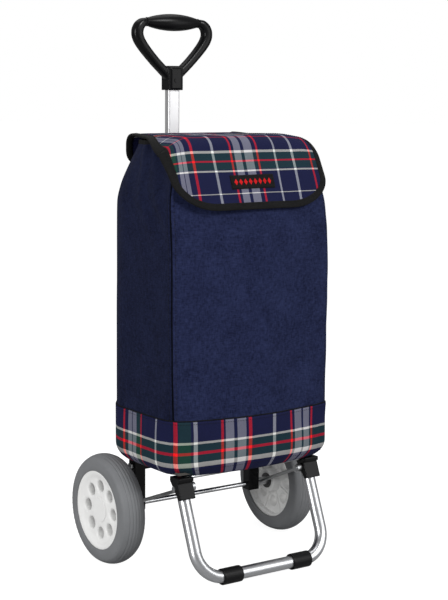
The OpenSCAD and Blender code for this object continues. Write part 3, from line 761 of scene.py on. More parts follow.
def tread():
    """Rows of blocks: (place across, count, size, lean)."""
    rows = [(19.6 * MM, 60, (4.4 * MM, 1.0 * MM, 2.6 * MM), -0.85),
            (8.2 * MM, 90, (3.2 * MM, 0.7 * MM, 1.2 * MM), -0.3),
            (2.8 * MM, 90, (2.8 * MM, 0.7 * MM, 1.2 * MM), -0.1),
            (14.6 * MM, 90, (3.6 * MM, 0.7 * MM, 1.2 * MM), -0.5)]
    made = []
    for x, count, size, lean in rows:
        for side in (1, -1):
            r = TYRE_R - CROWN_R + math.sqrt(CROWN_R ** 2 - x ** 2) - 0.25 * MM
            r -= 1.0 * MM if x > 19 * MM else 0.0
            source = tread_block(side * x, r, size, (side + 1) * 0.016, side * lean)
            made.append(ROUND.grow("blocks", source, tyre_rubber, count=count))
    return joined("tread", made)


def placed(piece, where):
    piece.data.transform(Matrix.Translation(tuple(where)))
    return piece


right_disc = placed(wheel_disc(), wheel_centre)
right_tyre = placed(joined("right_tyre_rubber", [tyre(), tread()]), wheel_centre)
left_disc = mirrored("left_wheel_disc", right_disc)
left_tyre = mirrored("left_tyre_rubber", right_tyre)
right_disc.name = "right_wheel_disc"
for side, disc, rubber in (("left", left_disc, left_tyre), ("right", right_disc, right_tyre)):
    dress(disc, white_plastic, "white_plastic", f"{side}_wheel", f"{side}_rim")
    dress(rubber, tyre_rubber, "tyre", f"{side}_wheel", f"{side}_tyre")


# %% [markdown]
# ## The bag
# The bag is one sewn shell: two flat-woven sides and a back, drawn up to the mouth, with rounded corners behind and a
# sharp sewn seam at each front corner. It bows out in front under its load, leans in at the shoulders, creases under
# the lid and curls under at its foot. Its plan is a closed line of fixed columns, so that every height has the same
# columns and any strip laid on it follows it exactly.

# %% The bag's plan and its height
bag_low, bag_high = box("bag_body")
BAG_HALF = bag_high[0]
BAG_FRONT = bag_low[1]
BAG_BACK = bag_high[1] - 5 * MM
BAG_FOOT = bag_low[2]
MOUTH = bag_high[2]
BOW = 9 * MM
BULGE = 4 * MM
RIGHT_AHEAD = 5 * MM
LEFT_CORNER = [34 * MM, 26 * MM, 13 * MM, 7 * MM]
RIGHT_CORNER = [13 * MM, 11 * MM, 8 * MM, 7 * MM]
CURL = 25 * MM
REAR_CORNER_R = 75 * MM
SHOULDER, SHOULDER_HIGH, SHOULDER_IN = 585 * MM, 95 * MM, 37 * MM
CORNER_HEIGHTS = [235 * MM, 262 * MM, 330 * MM, 420 * MM]
LEAN, LEAN_OVER = 0.345, 30
MOUTH_LEAN, BACK_LEAN = 16 * MM, 14 * MM
FLOOR_SAG = 4.5 * MM


def smooth(low, high, value):
    share = np.clip((value - low) / (high - low), 0, 1)
    return share * share * (3 - 2 * share)


def arc(centre_x, centre_y, radius, start, end, count):
    turns = np.radians(np.linspace(start, end, count + 1))
    return np.stack([centre_x + radius * np.cos(turns), centre_y + radius * np.sin(turns)], axis=1)


def half_plan(inset, front_in, back_in, front_r):
    """The left half of the bag's plan, from the middle of the back, drawn in by so much on each side."""
    half = BAG_HALF - inset
    front = BAG_FRONT + BOW + front_in
    back = BAG_BACK - back_in
    rear_r = REAR_CORNER_R - max(inset, 0) * 0.5
    left = [np.linspace([0, back], [-half + rear_r, back], 13),
            arc(-half + rear_r, back - rear_r, rear_r, 90, 180, 20),
            np.linspace([-half, back - rear_r], [-half, front + front_r], 44),
            arc(-half + front_r, front + front_r, front_r, 180, 270, 12)]
    line = np.concatenate([left[0]] + [piece[1:] for piece in left[1:]])
    across = np.linspace([-half + front_r, front], [0, front], 40)[1:]
    line = np.concatenate([line, across])
    return line, half, front


def plan_line(inset, front_in, back_in, left_r, right_r):
    """The whole plan. Its front corners have their own radii, and its right one stands a little ahead."""
    line, half, front = half_plan(inset, front_in, back_in, left_r)
    other = half_plan(inset, front_in, back_in, right_r)[0]
    front_r = max(left_r, right_r)
    line = np.concatenate([line, (other * [-1, 1])[::-1][1:]])
    share = np.clip(1 - (line[:, 0] / half) ** 2, 0, 1)
    line[:, 1] -= BOW * share * (line[:, 1] < front + front_r) * smooth(0, 0.16, share)
    line[:, 1] -= RIGHT_AHEAD * smooth(-half, half, line[:, 0]) * (1 - smooth(front, front + 130 * MM, line[:, 1]))
    return line


def travelled(line):
    """Distances along a plan, from its left front seam, and the distance to its right front seam."""
    along = distances(line)
    return along - along[SEAM_COLUMN], along[len(along) - 1 - SEAM_COLUMN] - along[SEAM_COLUMN]


def plan(inset, front_in, back_in, left_r, right_r):
    """The plan with its columns at the same places on the cloth as in the bag's base plan."""
    line = plan_line(inset, front_in, back_in, left_r, right_r)
    along, across = travelled(line)
    wanted = np.where(AROUND < 0, AROUND * along[0] / AROUND[0],
                      np.where(AROUND > SEAM_TO_SEAM,
                               across + (AROUND - SEAM_TO_SEAM) * (along[-1] - across) / (AROUND[-1] - SEAM_TO_SEAM),
                               AROUND * across / SEAM_TO_SEAM))
    return np.stack([np.interp(wanted, along, line[:, k]) for k in (0, 1)], axis=1)


SEAM_COLUMN = 12 + 20 + 43 + 6
BASE_PLAN = plan_line(0, 0, 0, 7 * MM, 7 * MM)
AROUND, SEAM_TO_SEAM = travelled(BASE_PLAN)


def soft_noise(along, up, wide, high, seed):
    """Smooth noise over the cloth, about -1 to 1, wide and high in metres."""
    flat = np.stack([along / wide, up / high], axis=-1).reshape(-1, 2)
    values = [noise.noise(Vector((a, b, seed * 7.3))) for a, b in flat]
    return np.array(values).reshape(along.shape)


def folds(along, up):
    """How far the cloth stands out, in metres, where it is along and up the bag."""
    out = 3.2 * MM * soft_noise(along, up, 110 * MM, 190 * MM, 1)
    out = out + 1.1 * MM * soft_noise(along, up, 38 * MM, 60 * MM, 2)
    shoulder = smooth(545 * MM, 610 * MM, up)
    lean = along + (up - 600 * MM) * 0.55
    near_left = np.exp(-((along + 60 * MM) / (120 * MM)) ** 2)
    out += 5.5 * MM * shoulder * soft_noise(lean, up, 19 * MM, 120 * MM, 3) * near_left
    side = np.exp(-((along + 40 * MM) / (45 * MM)) ** 2) * smooth(480 * MM, 600 * MM, up)
    out -= 4.5 * MM * side * (0.5 + 0.5 * np.sin((along * 1.0 + up * 0.8) / (9 * MM)))
    above_band = np.exp(-np.clip(up - 258 * MM, 0, None) / (26 * MM))
    out += 0.8 * MM * above_band * soft_noise(along, up, 12 * MM, 60 * MM, 4) * 1.6
    for seam in (0.0, SEAM_TO_SEAM):
        gap = along - seam
        out -= 1.5 * MM * np.exp(-(gap / (1.6 * MM)) ** 2)
        out += 0.9 * MM * np.exp(-((np.abs(gap) - 4.5 * MM) / (2.4 * MM)) ** 2)
        pull = np.exp(-(gap / (34 * MM)) ** 2) * (0.5 + 0.5 * soft_noise(along * 0 + seam, up, 40 * MM, 34 * MM, 5))
        out -= 2.2 * MM * pull * (np.abs(gap) > 1 * MM)
    return out


def bag_rows(heights, stand_off=0.0):
    """Points of the bag's wall at each height, stand_off outside it."""
    rows = []
    for up in heights:
        rise = max(0.0, (up - SHOULDER) / SHOULDER_HIGH)
        bulge = float(smooth(172 * MM, 196 * MM, up) * (1 - smooth(560 * MM, MOUTH, up)))
        inset = SHOULDER_IN * rise ** 1.8 - BULGE * bulge
        corners = [np.interp(up, CORNER_HEIGHTS, radii) for radii in (LEFT_CORNER, RIGHT_CORNER)]
        front_in = LEAN * LEAN_OVER * MM * math.log1p(math.exp((up - 588 * MM) / (LEAN_OVER * MM)))
        front_in += MOUTH_LEAN * float(smooth(640 * MM, MOUTH, up))
        back_in = BACK_LEAN * float(smooth(590 * MM, 680 * MM, up))
        top = plan(inset, front_in, back_in, *corners)
        turned, drop = 0.0, up
        if up < BAG_FOOT + CURL:
            turned = (BAG_FOOT + CURL - up) / CURL * math.pi / 2
            tuck = CURL * (1 - math.cos(turned)) * 0.8
            drop = BAG_FOOT + CURL * (1 - math.sin(turned))
            top = plan(inset + tuck, front_in + tuck, back_in + tuck, *corners)
        ahead = np.roll(top, -1, axis=0) - np.roll(top, 1, axis=0)
        ahead[0] = ahead[-1] = [-1, 0]
        normal = unit(np.stack([ahead[:, 1], -ahead[:, 0]], axis=1))
        out = folds(AROUND, np.full_like(AROUND, up)) * math.cos(turned)
        back_wall = smooth(20 * MM, 70 * MM, BAG_BACK - top[:, 1])
        out = np.minimum(out, 2.4 * MM) * back_wall + stand_off * max(0.25, math.cos(turned))
        points = top + normal * out[:, None]
        sag = -FLOOR_SAG * np.clip(1 - (top[:, 0] / (120 * MM)) ** 2, 0, 1) * (top[:, 1] < 0) * math.sin(turned) ** 3
        sag *= math.exp(-((turned - 1.1) / 0.35) ** 2)
        rows.append(np.column_stack([points, drop - stand_off * math.sin(turned) + sag]))
    return np.array(rows)


def bag_cloth(heights):
    across, up = np.meshgrid(AROUND, heights)
    return np.dstack([across, up])


# %% [markdown]
# The shell gets denser rows near its foot and its shoulders, where it bends most. Below the curl a few shrinking rows
# close the floor. The mouth has a bound hem.

# %% The shell
heights = np.concatenate([np.linspace(BAG_FOOT, BAG_FOOT + CURL, 11), np.linspace(BAG_FOOT + CURL, 250 * MM, 12)[1:],
                          np.linspace(250 * MM, 270 * MM, 9)[1:], np.linspace(270 * MM, 540 * MM, 44)[1:],
                          np.linspace(540 * MM, MOUTH, 52)[1:]])
wall = bag_rows(heights)
foot = wall[0]
middle = np.array([0.0, foot[:, 1].mean(), foot[:, 2].mean()])
floor_rows = np.array([middle + (foot - middle) * share for share in (0.02, 0.3, 0.55, 0.8, 0.93)])
floor_rows[:, :, 2] = np.maximum(floor_rows[:, :, 2], BAG_FOOT + 0.2 * MM)
floor_map = np.dstack([floor_rows[:, :, 0], floor_rows[:, :, 1]])
shell_points = np.concatenate([floor_rows, wall])
shell_map = np.concatenate([floor_map, bag_cloth(heights)])
shell = thickened("bag_shell", grid_piece("bag_shell", shell_points, shell_map), 1.2 * MM)
dress(shell, navy_cloth, "navy_fabric", "root", "bag_body")


def ribbon(name, line, section):
    """A closed or open strip: at each point of the line, the section's points are given in 3-D by section(i)."""
    rows = np.array([section(i) for i in range(len(line))])
    first, second = np.meshgrid(distances(line), distances(rows[0]), indexing="ij")
    return grid_piece(name, rows, np.dstack([first, second]))


mouth_line = bag_rows([MOUTH])[0]
inward = middle * [0, 1, 0] - mouth_line
inward[:, 2] = 0
inward = unit(inward)


def hem_section(i):
    turns = np.linspace(0, TURN, 17)
    place = mouth_line[i] + [0, 0, 0.5 * MM]
    return [place + inward[i] * 0.6 * MM - inward[i] * 1.7 * MM * math.cos(a) + Vector((0, 0, 5 * MM * math.sin(a)))
            for a in turns]


hem = ribbon("mouth_binding", mouth_line, hem_section)
dress(hem, black_tape, "black_tape", "root", "mouth_hem")

# %% [markdown]
# The tartan band is a second cloth sewn round the bag's foot. It stands a little proud, ends in a folded edge at its
# top with a dark seam line above it, and curls under the floor with the shell. Its map starts at the left front seam.

# %% The band
BAND_TOP = 257 * MM
BAND_DIP = 4.0 * MM


def band_heights():
    return np.concatenate([np.linspace(BAG_FOOT + 0.12 * CURL, BAG_FOOT + CURL, 12),
                           np.linspace(BAG_FOOT + CURL, BAND_TOP, 20)[1:]])


band_up = band_heights()
band_points = bag_rows(band_up, 1.9 * MM)
sink = BAND_DIP * np.clip(1 - (BASE_PLAN[:, 0] / BAG_HALF) ** 2, 0, 1) * (BASE_PLAN[:, 1] < -60 * MM)
band_points[:, :, 2] -= sink * smooth(200 * MM, BAND_TOP, band_up)[:, None]
folded = bag_rows([BAND_TOP + 0.3 * MM, BAND_TOP - 3 * MM], 0.9 * MM)
folded[:, :, 2] -= sink
band_points = np.concatenate([band_points, folded])
band_map = bag_cloth(np.concatenate([band_up, [BAND_TOP + 1 * MM, BAND_TOP + 4 * MM]]))
band = thickened("tartan_band_cloth", grid_piece("tartan_band_cloth", band_points, band_map), 0.7 * MM)
dress(band, band_cloth, "tartan_fabric", "root", "tartan_band")


def along_bag(up, stand_off, keep=None):
    row = bag_rows([up], stand_off)[0]
    row[:, 2] -= sink * float(smooth(200 * MM, BAND_TOP, up))
    return row if keep is None else row[keep]


seam_cord = SWEEP.grow("band_seam_cord", polyline("seam_line", along_bag(BAND_TOP + 1.6 * MM, 0.9 * MM)), black_tape,
                       wide=1.5 * MM, deep=1.5 * MM, sides=8)
seen = (BASE_PLAN[:, 1] < 60 * MM)
lines = [stitched(f"stitches_{i}", along_bag(up, 2.35 * MM, seen), black_thread, 4.4 * MM, 2.8 * MM, 0.7 * MM)
         for i, up in enumerate((BAND_TOP - 3.5 * MM, BAG_FOOT + 0.62 * CURL))]
for side, seam in ((-1, 0.0), (1, SEAM_TO_SEAM)):
    for gap in (-6.5 * MM, 6.5 * MM):
        ups = np.linspace(262 * MM, 600 * MM, 90)
        rows = bag_rows(ups, 0.25 * MM)
        line = [[np.interp(seam + gap, AROUND, row[:, k]) for k in range(3)] for row in rows]
        lines.append(stitched("seam_stitches", line, black_thread, 4.6 * MM, 3.0 * MM, 0.7 * MM))
bag_stitches = joined("bag_stitches", lines)
dress(bag_stitches, black_thread, "black_tape", "root")
dress(seam_cord, black_tape, "black_tape", "root")


# %% [markdown]
# ## The lid flap
# The flap is one tartan cloth, sewn to the bag's back below the rim, laid forward over the mouth and hanging down in
# front, where it stands off the bag by its own stiffness. Seen from the side it is a tail, a bend over the rim, a
# flat top, a round crest and a slanted front. The crest is tight in the middle and slack at the sides, where the edge
# also hangs back over the shoulders. Everything sewn to it is placed by the same function.

# %% The flap's surface
flap_low, flap_high = box("flap_binding")
HEM_Z = flap_low[2]
TOP_Z = flap_high[2] + 0.6 * MM
REAR_Y = flap_high[1] - 2.6 * MM
KNEE_Y = -68.7 * MM
SLANT = math.radians(20)
LINE = (TOP_Z - HEM_Z) / math.cos(SLANT)
REAR_R = 18 * MM
TAIL = 31 * MM
BEND = math.radians(90) - SLANT


def flap_side(v, crest):
    """(y, z, normal_y, normal_z) at v up from the hem, for a crest of this radius."""
    tangent = crest * math.tan(BEND / 2)
    front = LINE - tangent
    bend = crest * BEND
    top = REAR_Y - REAR_R - KNEE_Y - tangent
    rear = REAR_R * math.pi / 2
    foot_y = KNEE_Y - LINE * math.sin(SLANT)
    if v < front:
        return (foot_y + v * math.sin(SLANT), HEM_Z + v * math.cos(SLANT), -math.cos(SLANT), math.sin(SLANT))
    v -= front
    if v < bend:
        turn = SLANT + v / crest
        middle_y, middle_z = KNEE_Y + tangent, TOP_Z - crest
        return (middle_y - crest * math.cos(turn), middle_z + crest * math.sin(turn), -math.cos(turn), math.sin(turn))
    v -= bend
    if v < top:
        return (KNEE_Y + tangent + v, TOP_Z, 0.0, 1.0)
    v -= top
    if v < rear:
        turn = v / REAR_R
        return (REAR_Y - REAR_R + REAR_R * math.sin(turn), TOP_Z - REAR_R + REAR_R * math.cos(turn),
                math.sin(turn), math.cos(turn))
    v -= rear
    return (REAR_Y, TOP_Z - REAR_R - v, 1.0, 0.0)


MEAN_CREST = 30 * MM
FLAP_LENGTH = LINE + (REAR_Y - REAR_R - KNEE_Y) - 2 * MEAN_CREST * math.tan(BEND / 2) + MEAN_CREST * BEND \
    + REAR_R * math.pi / 2 + TAIL
FLAP_HALF = 145.5 * MM
CORNER_X, CORNER_V = 76 * MM, 50 * MM
REAR_CORNER = 20 * MM
CREST, CREST_RIGHT = 26, 28
DROOP_LEFT, DROOP_RIGHT = 30, 9
HANGS_AT = 118 * MM
FLARE = 3.0 * MM
SLACK = 28 * MM
REAR_NARROWER = 0.28


def flap_point(x, v, lift=0.0):
    """Where the flap is, x across and v up from its hem, lifted off its surface."""
    reach = abs(x) / (FLAP_HALF * rear_taper(v))
    crest = (CREST + (CREST_RIGHT * min(1.0, reach) ** 2 if x > 0 else 0)) * MM
    y, z, ny, nz = flap_side(v, crest)
    droop = (DROOP_LEFT if x < 0 else DROOP_RIGHT) * MM * max(0.0, (reach - 0.68) / 0.32) ** 2
    droop *= math.exp(-((v - HANGS_AT) / (52 * MM)) ** 2) * 0.85 + 0.15 * float(smooth(60 * MM, 110 * MM, v))
    droop *= 1 - float(smooth(FLAP_LENGTH - TAIL - 60 * MM, FLAP_LENGTH - TAIL - 10 * MM, v))
    wave = noise.noise(Vector((x / (70 * MM), v / (60 * MM), 3.1))) * 2.0 * MM
    wave += noise.noise(Vector((x / (24 * MM), v / (30 * MM), 9.4))) * 0.6 * MM
    wave *= 1 - float(smooth(FLAP_LENGTH - 100 * MM, FLAP_LENGTH - 60 * MM, v))
    off = lift - droop + min(wave, 0.8 * MM)
    wide = FLARE * max(0.0, (reach - 0.8) / 0.2) ** 2 * math.exp(-((v - 70 * MM) / (60 * MM)) ** 2) * (x < 0)
    return (x - wide, y + ny * off, z + nz * off)


def flap_half_width(v, inset=0.0):
    """Half the flap's width at v up from the hem: elliptic corners in front, small ones behind."""
    half, across, along = FLAP_HALF - inset, CORNER_X - inset, CORNER_V - inset
    v = v - inset
    if v < along:
        return half - across + across * math.sqrt(max(0.0, 1 - (1 - v / along) ** 2))
    rear = FLAP_LENGTH - 2 * inset - v
    corner = REAR_CORNER - inset
    if rear < corner:
        half += corner * (math.sqrt(max(0.0, 1 - (1 - rear / corner) ** 2)) - 1)
    return half


def rear_taper(v):
    """The flap is narrower behind, where it is sewn on between the bag's rounded corners."""
    return 1 - REAR_NARROWER * float(smooth(FLAP_LENGTH - 205 * MM, FLAP_LENGTH - 75 * MM, v))


def cloth_place(x, v):
    """Where a point lies on the cloth before its slack left edge hangs down."""
    slack = SLACK * max(0.0, (-x / FLAP_HALF - 0.7) / 0.3) ** 2
    return (x - slack * math.exp(-((v - HANGS_AT) / (48 * MM)) ** 2), v)


# %% The cloth
INSET = 2.0 * MM
front_rows = INSET + (CORNER_V - INSET) * (1 - np.cos(np.linspace(0, math.pi / 2, 16)))
rear_rows = FLAP_LENGTH - INSET - (REAR_CORNER - INSET) * (1 - np.cos(np.linspace(math.pi / 2, 0, 8)))
middle_rows = np.linspace(CORNER_V, FLAP_LENGTH - REAR_CORNER, 92)[1:-1]
flap_rows = np.concatenate([front_rows, middle_rows, rear_rows])
columns = np.sin(np.linspace(-math.pi / 2, math.pi / 2, 72) * 0.8) / math.sin(math.pi / 2 * 0.8)
flat_places = [[(flap_half_width(v, INSET) * rear_taper(v) * c, v) for c in columns] for v in flap_rows]
flap_grid = np.array([[flap_point(*place) for place in row] for row in flat_places])
flap_map = np.array([[cloth_place(*place) for place in row] for row in flat_places])
flap_sheet = thickened("flap_cloth", grid_piece("flap_cloth", flap_grid, flap_map), 1.4 * MM)


# %% [markdown]
# ### Binding
# A black tape 11 mm wide is folded over the whole edge, so its section is a flat C that runs round the outline. The
# outline is found once on the flat cloth, with the direction into the cloth at each point.

# %% The binding and its stitches
def flap_outline():
    """Points and inward directions round the flat cloth, starting in the middle of the hem."""
    turns = np.linspace(0, math.pi / 2, 34)
    front = [(FLAP_HALF - CORNER_X * (1 - math.sin(a)), CORNER_V * (1 - math.cos(a))) for a in turns]
    rear = [(FLAP_HALF - REAR_CORNER + REAR_CORNER * math.cos(a),
             FLAP_LENGTH - REAR_CORNER + REAR_CORNER * math.sin(a)) for a in np.linspace(0, math.pi / 2, 12)]
    half = [(x, 0.0) for x in np.linspace(0, FLAP_HALF - CORNER_X, 14)[:-1]] + front
    half += [(FLAP_HALF, v) for v in np.linspace(CORNER_V, FLAP_LENGTH - REAR_CORNER, 90)[1:-1]] + rear
    half += [(x, FLAP_LENGTH) for x in np.linspace(FLAP_HALF - REAR_CORNER, 0, 24)[1:]]
    half = np.array([(x * rear_taper(v), v) for x, v in half])
    line = np.concatenate([half, (half * [-1, 1])[::-1][1:]])
    ahead = np.gradient(line, axis=0)
    ahead[0] = ahead[-1] = [1, 0]
    return line, unit(np.stack([-ahead[:, 1], ahead[:, 0]], axis=1))


outline, inside = flap_outline()
BINDING = [(11, 0.15), (10.6, 0.95), (8, 1.15), (4, 1.2), (1.2, 1.1), (0.1, 0.5), (-0.3, -0.7), (0.1, -1.9),
           (1.2, -2.5), (4, -2.6), (8, -2.55), (10.6, -2.35), (11, -1.55)]


def binding_section(i):
    made = []
    for depth, lift in BINDING:
        x, v = outline[i] + inside[i] * depth * MM
        made.append(flap_point(x, v, lift * MM))
    return made


binding_line = np.array([flap_point(x, v) for x, v in outline])
binding = ribbon("flap_binding_tape", binding_line, binding_section)


def on_flap(depth, lift):
    return [flap_point(*(spot + turned * depth), lift) for spot, turned in zip(outline, inside)]


binding_stitches = stitched("binding_stitches", on_flap(9.0 * MM, 1.25 * MM), black_thread, 4.2 * MM, 2.7 * MM,
                            0.6 * MM)


# %% [markdown]
# ### Patch and closure tapes
# A woven patch with a plain row of red diamonds sits low on the front. Behind it a strip of hook tape meets a strip
# of loop tape on the bag.

# %% Small pieces on the flap
def patch(name, x0, x1, v0, v1, place, thick):
    """A small closed slab bent to a surface, between two lifts off it."""
    xs, vs = np.linspace(x0, x1, 33), np.linspace(v0, v1, 13)
    points = np.array([[place(x, v) for x in xs] for v in vs])
    flat = np.array([[(x, v) for x in xs] for v in vs])
    return thickened(name, grid_piece(name, points, flat), thick)


label_low, label_high = box("label_patch")
LABEL_V = ((label_low[2] - HEM_Z) / math.cos(SLANT), (label_high[2] - HEM_Z + 3 * MM) / math.cos(SLANT))
label = patch("label_cloth", label_low[0], label_high[0] - 2 * MM, *LABEL_V, lambda x, v: flap_point(x, v, 1.2 * MM),
              1.1 * MM)
label_border = [(label_low[0] + 2 * MM, LABEL_V[0] + 2 * MM), (label_high[0] - 4 * MM, LABEL_V[0] + 2 * MM),
                (label_high[0] - 4 * MM, LABEL_V[1] - 2 * MM), (label_low[0] + 2 * MM, LABEL_V[1] - 2 * MM)]


def dense(corners, step=2 * MM):
    made = []
    for first, second in zip(corners, corners[1:] + corners[:1]):
        count = max(2, int(math.dist(first, second) / step))
        made += [tuple(np.array(first) + (np.array(second) - first) * i / count) for i in range(count)]
    return made


border = stitched("label_border", [flap_point(x, v, 1.35 * MM) for x, v in dense(label_border)], black_thread,
                  2.6 * MM, 1.9 * MM, 0.5 * MM, closed=True)


def diamond():
    """One flat-topped diamond of thread, lying across X and V at the origin."""
    work = bmesh.new()
    bmesh.ops.create_cone(work, cap_ends=True, segments=4, radius1=3.6 * MM, radius2=3.0 * MM, depth=0.5 * MM)
    bmesh.ops.transform(work, matrix=Matrix.Diagonal((1, 1.5, 1, 1)), verts=work.verts)
    bmesh.ops.subdivide_edges(work, edges=work.edges, cuts=1, use_grid_fill=True)
    return piece_from("diamond", work)


diamonds = ROW.grow("label_diamonds", diamond(), red_thread, count=8, step=(9.0 * MM, 0.0, 0.0))
label_middle = (sum(LABEL_V) / 2, (label_low[0] + label_high[0] - 2 * MM) / 2)
for vertex in diamonds.data.vertices:
    x, v, lift = vertex.co
    vertex.co = flap_point(x + label_middle[1] - 31.5 * MM, v + label_middle[0], lift + 1.35 * MM)

hook_low, hook_high = box("closure_hook_tape")
HOOK_V = ((hook_low[2] - HEM_Z) / math.cos(SLANT), (hook_high[2] - HEM_Z) / math.cos(SLANT))
hook_tape = patch("hook_tape", hook_low[0], hook_high[0], *HOOK_V, lambda x, v: flap_point(x, v, -1.4 * MM),
                  1.0 * MM)
loop_low, loop_high = box("closure_loop_tape")
loop_rows = bag_rows(np.linspace(loop_low[2], loop_high[2], 13), 0.9 * MM)


def on_bag(x, up):
    row = loop_rows[int(round((up - loop_low[2]) / (loop_high[2] - loop_low[2]) * 12))]
    front = row[BASE_PLAN[:, 1] < -85 * MM]
    front = front[np.argsort(front[:, 0])]
    return [x, np.interp(x, front[:, 0], front[:, 1]), front[:, 2].mean()]


loop_tape = patch("loop_tape", loop_low[0], loop_high[0], loop_low[2], loop_high[2], on_bag, 0.9 * MM)

# %% The hinge line's ends, the flap's cloth, tape and stitches, and what rides on it
HINGE_START, HINGE_END = (0, REAR_Y, 0.672), (0, REAR_Y - 28 * MM, 0.694)
for piece, finish, kind, stands_for in ((flap_sheet, flap_cloth, "tartan_fabric", ("flap",)),
                                        (binding, black_tape, "black_tape", ("flap_binding",)),
                                        (binding_stitches, black_thread, "black_tape", ())):
    dress(piece, finish, kind, None, *stands_for)
    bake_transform(piece)
    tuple(HINGE_START)
    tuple(HINGE_END)
dress(label, black_tape, "black_tape", "flap", "label_patch")
dress(border, black_thread, "black_tape", "flap")
dress(diamonds, red_thread, "tartan_fabric", "flap")
dress(hook_tape, black_tape, "black_tape", "flap", "closure_hook_tape")
dress(loop_tape, black_tape, "black_tape", "root", "closure_loop_tape")

# %% [markdown]
# ### What each cloth was cut to
# The shell is a wall as long as its girth, and a floor. The band is one strip. The flap is a rectangle less its
# corners.

# %% The flap's flat area
2 * FLAP_HALF * FLAP_LENGTH - (4 - math.pi) / 2 * CORNER_X * CORNER_V


# %% [markdown]
# ## Moulded parts
# Moulded plastic has no sharp edges. A copy of the CAD part is rebuilt on a fine even net and smoothed a little,
# which rounds every edge by about a millimetre and leaves its size and place alone.

# %% Soft-edged copies of CAD parts
def melted(name, pieces, voxel, passes):
    """Pieces that overlap, as one rounded moulding."""
    solid = joined(name, pieces)
    net = solid.modifiers.new("net", "REMESH")
    net.mode = "VOXEL"
    net.voxel_size = voxel
    relax = solid.modifiers.new("relax", "SMOOTH")
    relax.factor = 0.5
    relax.iterations = passes
    made = settled(name, solid)
    made.data.polygons.foreach_set("use_smooth", [True] * len(made.data.polygons))
    return made


LIP_FROM, LIP_FRONT = 150 * MM, -96.5 * MM


def softened(node, voxel, passes):
    """A rounded copy of a CAD node. A bracket's lip is pushed back under the bag, whose foot curls there."""
    source = nodes[node]
    mesh = source.data.copy()
    mesh.transform(source.matrix_world)
    if "bracket" in node:
        for corner in mesh.vertices:
            if corner.co.z > LIP_FROM:
                corner.co.y = max(corner.co.y, LIP_FRONT)
    return melted(node + "_moulding", [make_object("copy", mesh)], voxel, passes)


def slab(low, high):
    """A plain box between two corners."""
    low, high = np.array(low), np.array(high)
    return block("slab", Matrix.Translation(tuple((low + high) / 2)) @ Matrix.Diagonal((*(high - low), 1)))


# %% [markdown]
# The handle is a loop of rounded bar. Each arm is swept along its own line, wide at the shoulder and slimmer at the
# grip and at the socket, with a raised ridge on its inner side that catches the light. The arms and the socket, which
# has a raised panel in front and a small screw hole, are melted into one moulding.

# %% The handle
socket_low, socket_high = box("handle_frame")
HANDLE_Y = (socket_low[1] + socket_high[1]) / 2
ARM_LINE = np.array([(50.5, 875, 12.5, 13), (54, 874.8, 13.5, 15), (60, 873, 16, 17), (65.5, 868, 18, 18),
                     (68.6, 861, 19, 18.5), (68.6, 853, 19, 18.5), (65, 844.5, 18.5, 18.5), (57.5, 834.5, 17.5, 18.5),
                     (46.5, 822.5, 16.5, 18.5), (34, 810, 16, 18.5), (21, 798.5, 16, 18.5), (9, 788, 16, 18.5)]) * MM


def handle_arm(side):
    count = 60
    place = np.linspace(0, len(ARM_LINE) - 1, count)
    line = np.stack([np.interp(place, range(len(ARM_LINE)), ARM_LINE[:, k]) for k in range(4)], axis=1)
    for _ in range(3):
        line[1:-1] = (line[:-2] + line[1:-1] * 2 + line[2:]) / 4
    ahead = unit(np.gradient(line[:, :2], axis=0))
    rows = []
    for (x, z, wide, deep), (run, rise) in zip(line, ahead):
        row = []
        for turn in np.linspace(0, TURN, 41):
            across, out = math.cos(turn), math.sin(turn)
            across = math.copysign(abs(across) ** 0.8, across) * wide / 2
            out = math.copysign(abs(out) ** 0.8, out) * deep / 2
            ridge = 0.9 * MM * math.exp(-((turn - 4.0) / 0.22) ** 2)
            row.append((side * (x - rise * across), HANDLE_Y + out - ridge, z + run * across))
        rows.append([(side * x, HANDLE_Y, z)] * 41 if not rows else row)
    rows.append([(side * line[-1][0], HANDLE_Y, line[-1][1])] * 41)
    return grid_piece("arm", np.array(rows))


def handle_socket():
    """The socket under the arms, as slabs round the mast, with its raised panel in front."""
    half = (socket_high[1] - socket_low[1]) / 2
    low_z, high_z, wall = socket_low[2], 804 * MM, 2.9 * MM
    sides = [slab((-14 * MM, HANDLE_Y - half, low_z), (14 * MM, HANDLE_Y - half + 4.9 * MM, high_z)),
             slab((-14 * MM, HANDLE_Y + half - 4.9 * MM, low_z), (14 * MM, HANDLE_Y + half, high_z)),
             slab((-14 * MM, HANDLE_Y - half, low_z), (-14 * MM + wall, HANDLE_Y + half, high_z)),
             slab((14 * MM - wall, HANDLE_Y - half, low_z), (14 * MM, HANDLE_Y + half, high_z)),
             slab((-13 * MM, HANDLE_Y - half + 1 * MM, 798 * MM), (13 * MM, HANDLE_Y + half - 1 * MM, high_z)),
             slab((-9.5 * MM, HANDLE_Y - half - 1.3 * MM, low_z + 3 * MM),
                  (9.5 * MM, HANDLE_Y - half + 1 * MM, 799 * MM))]
    return sides


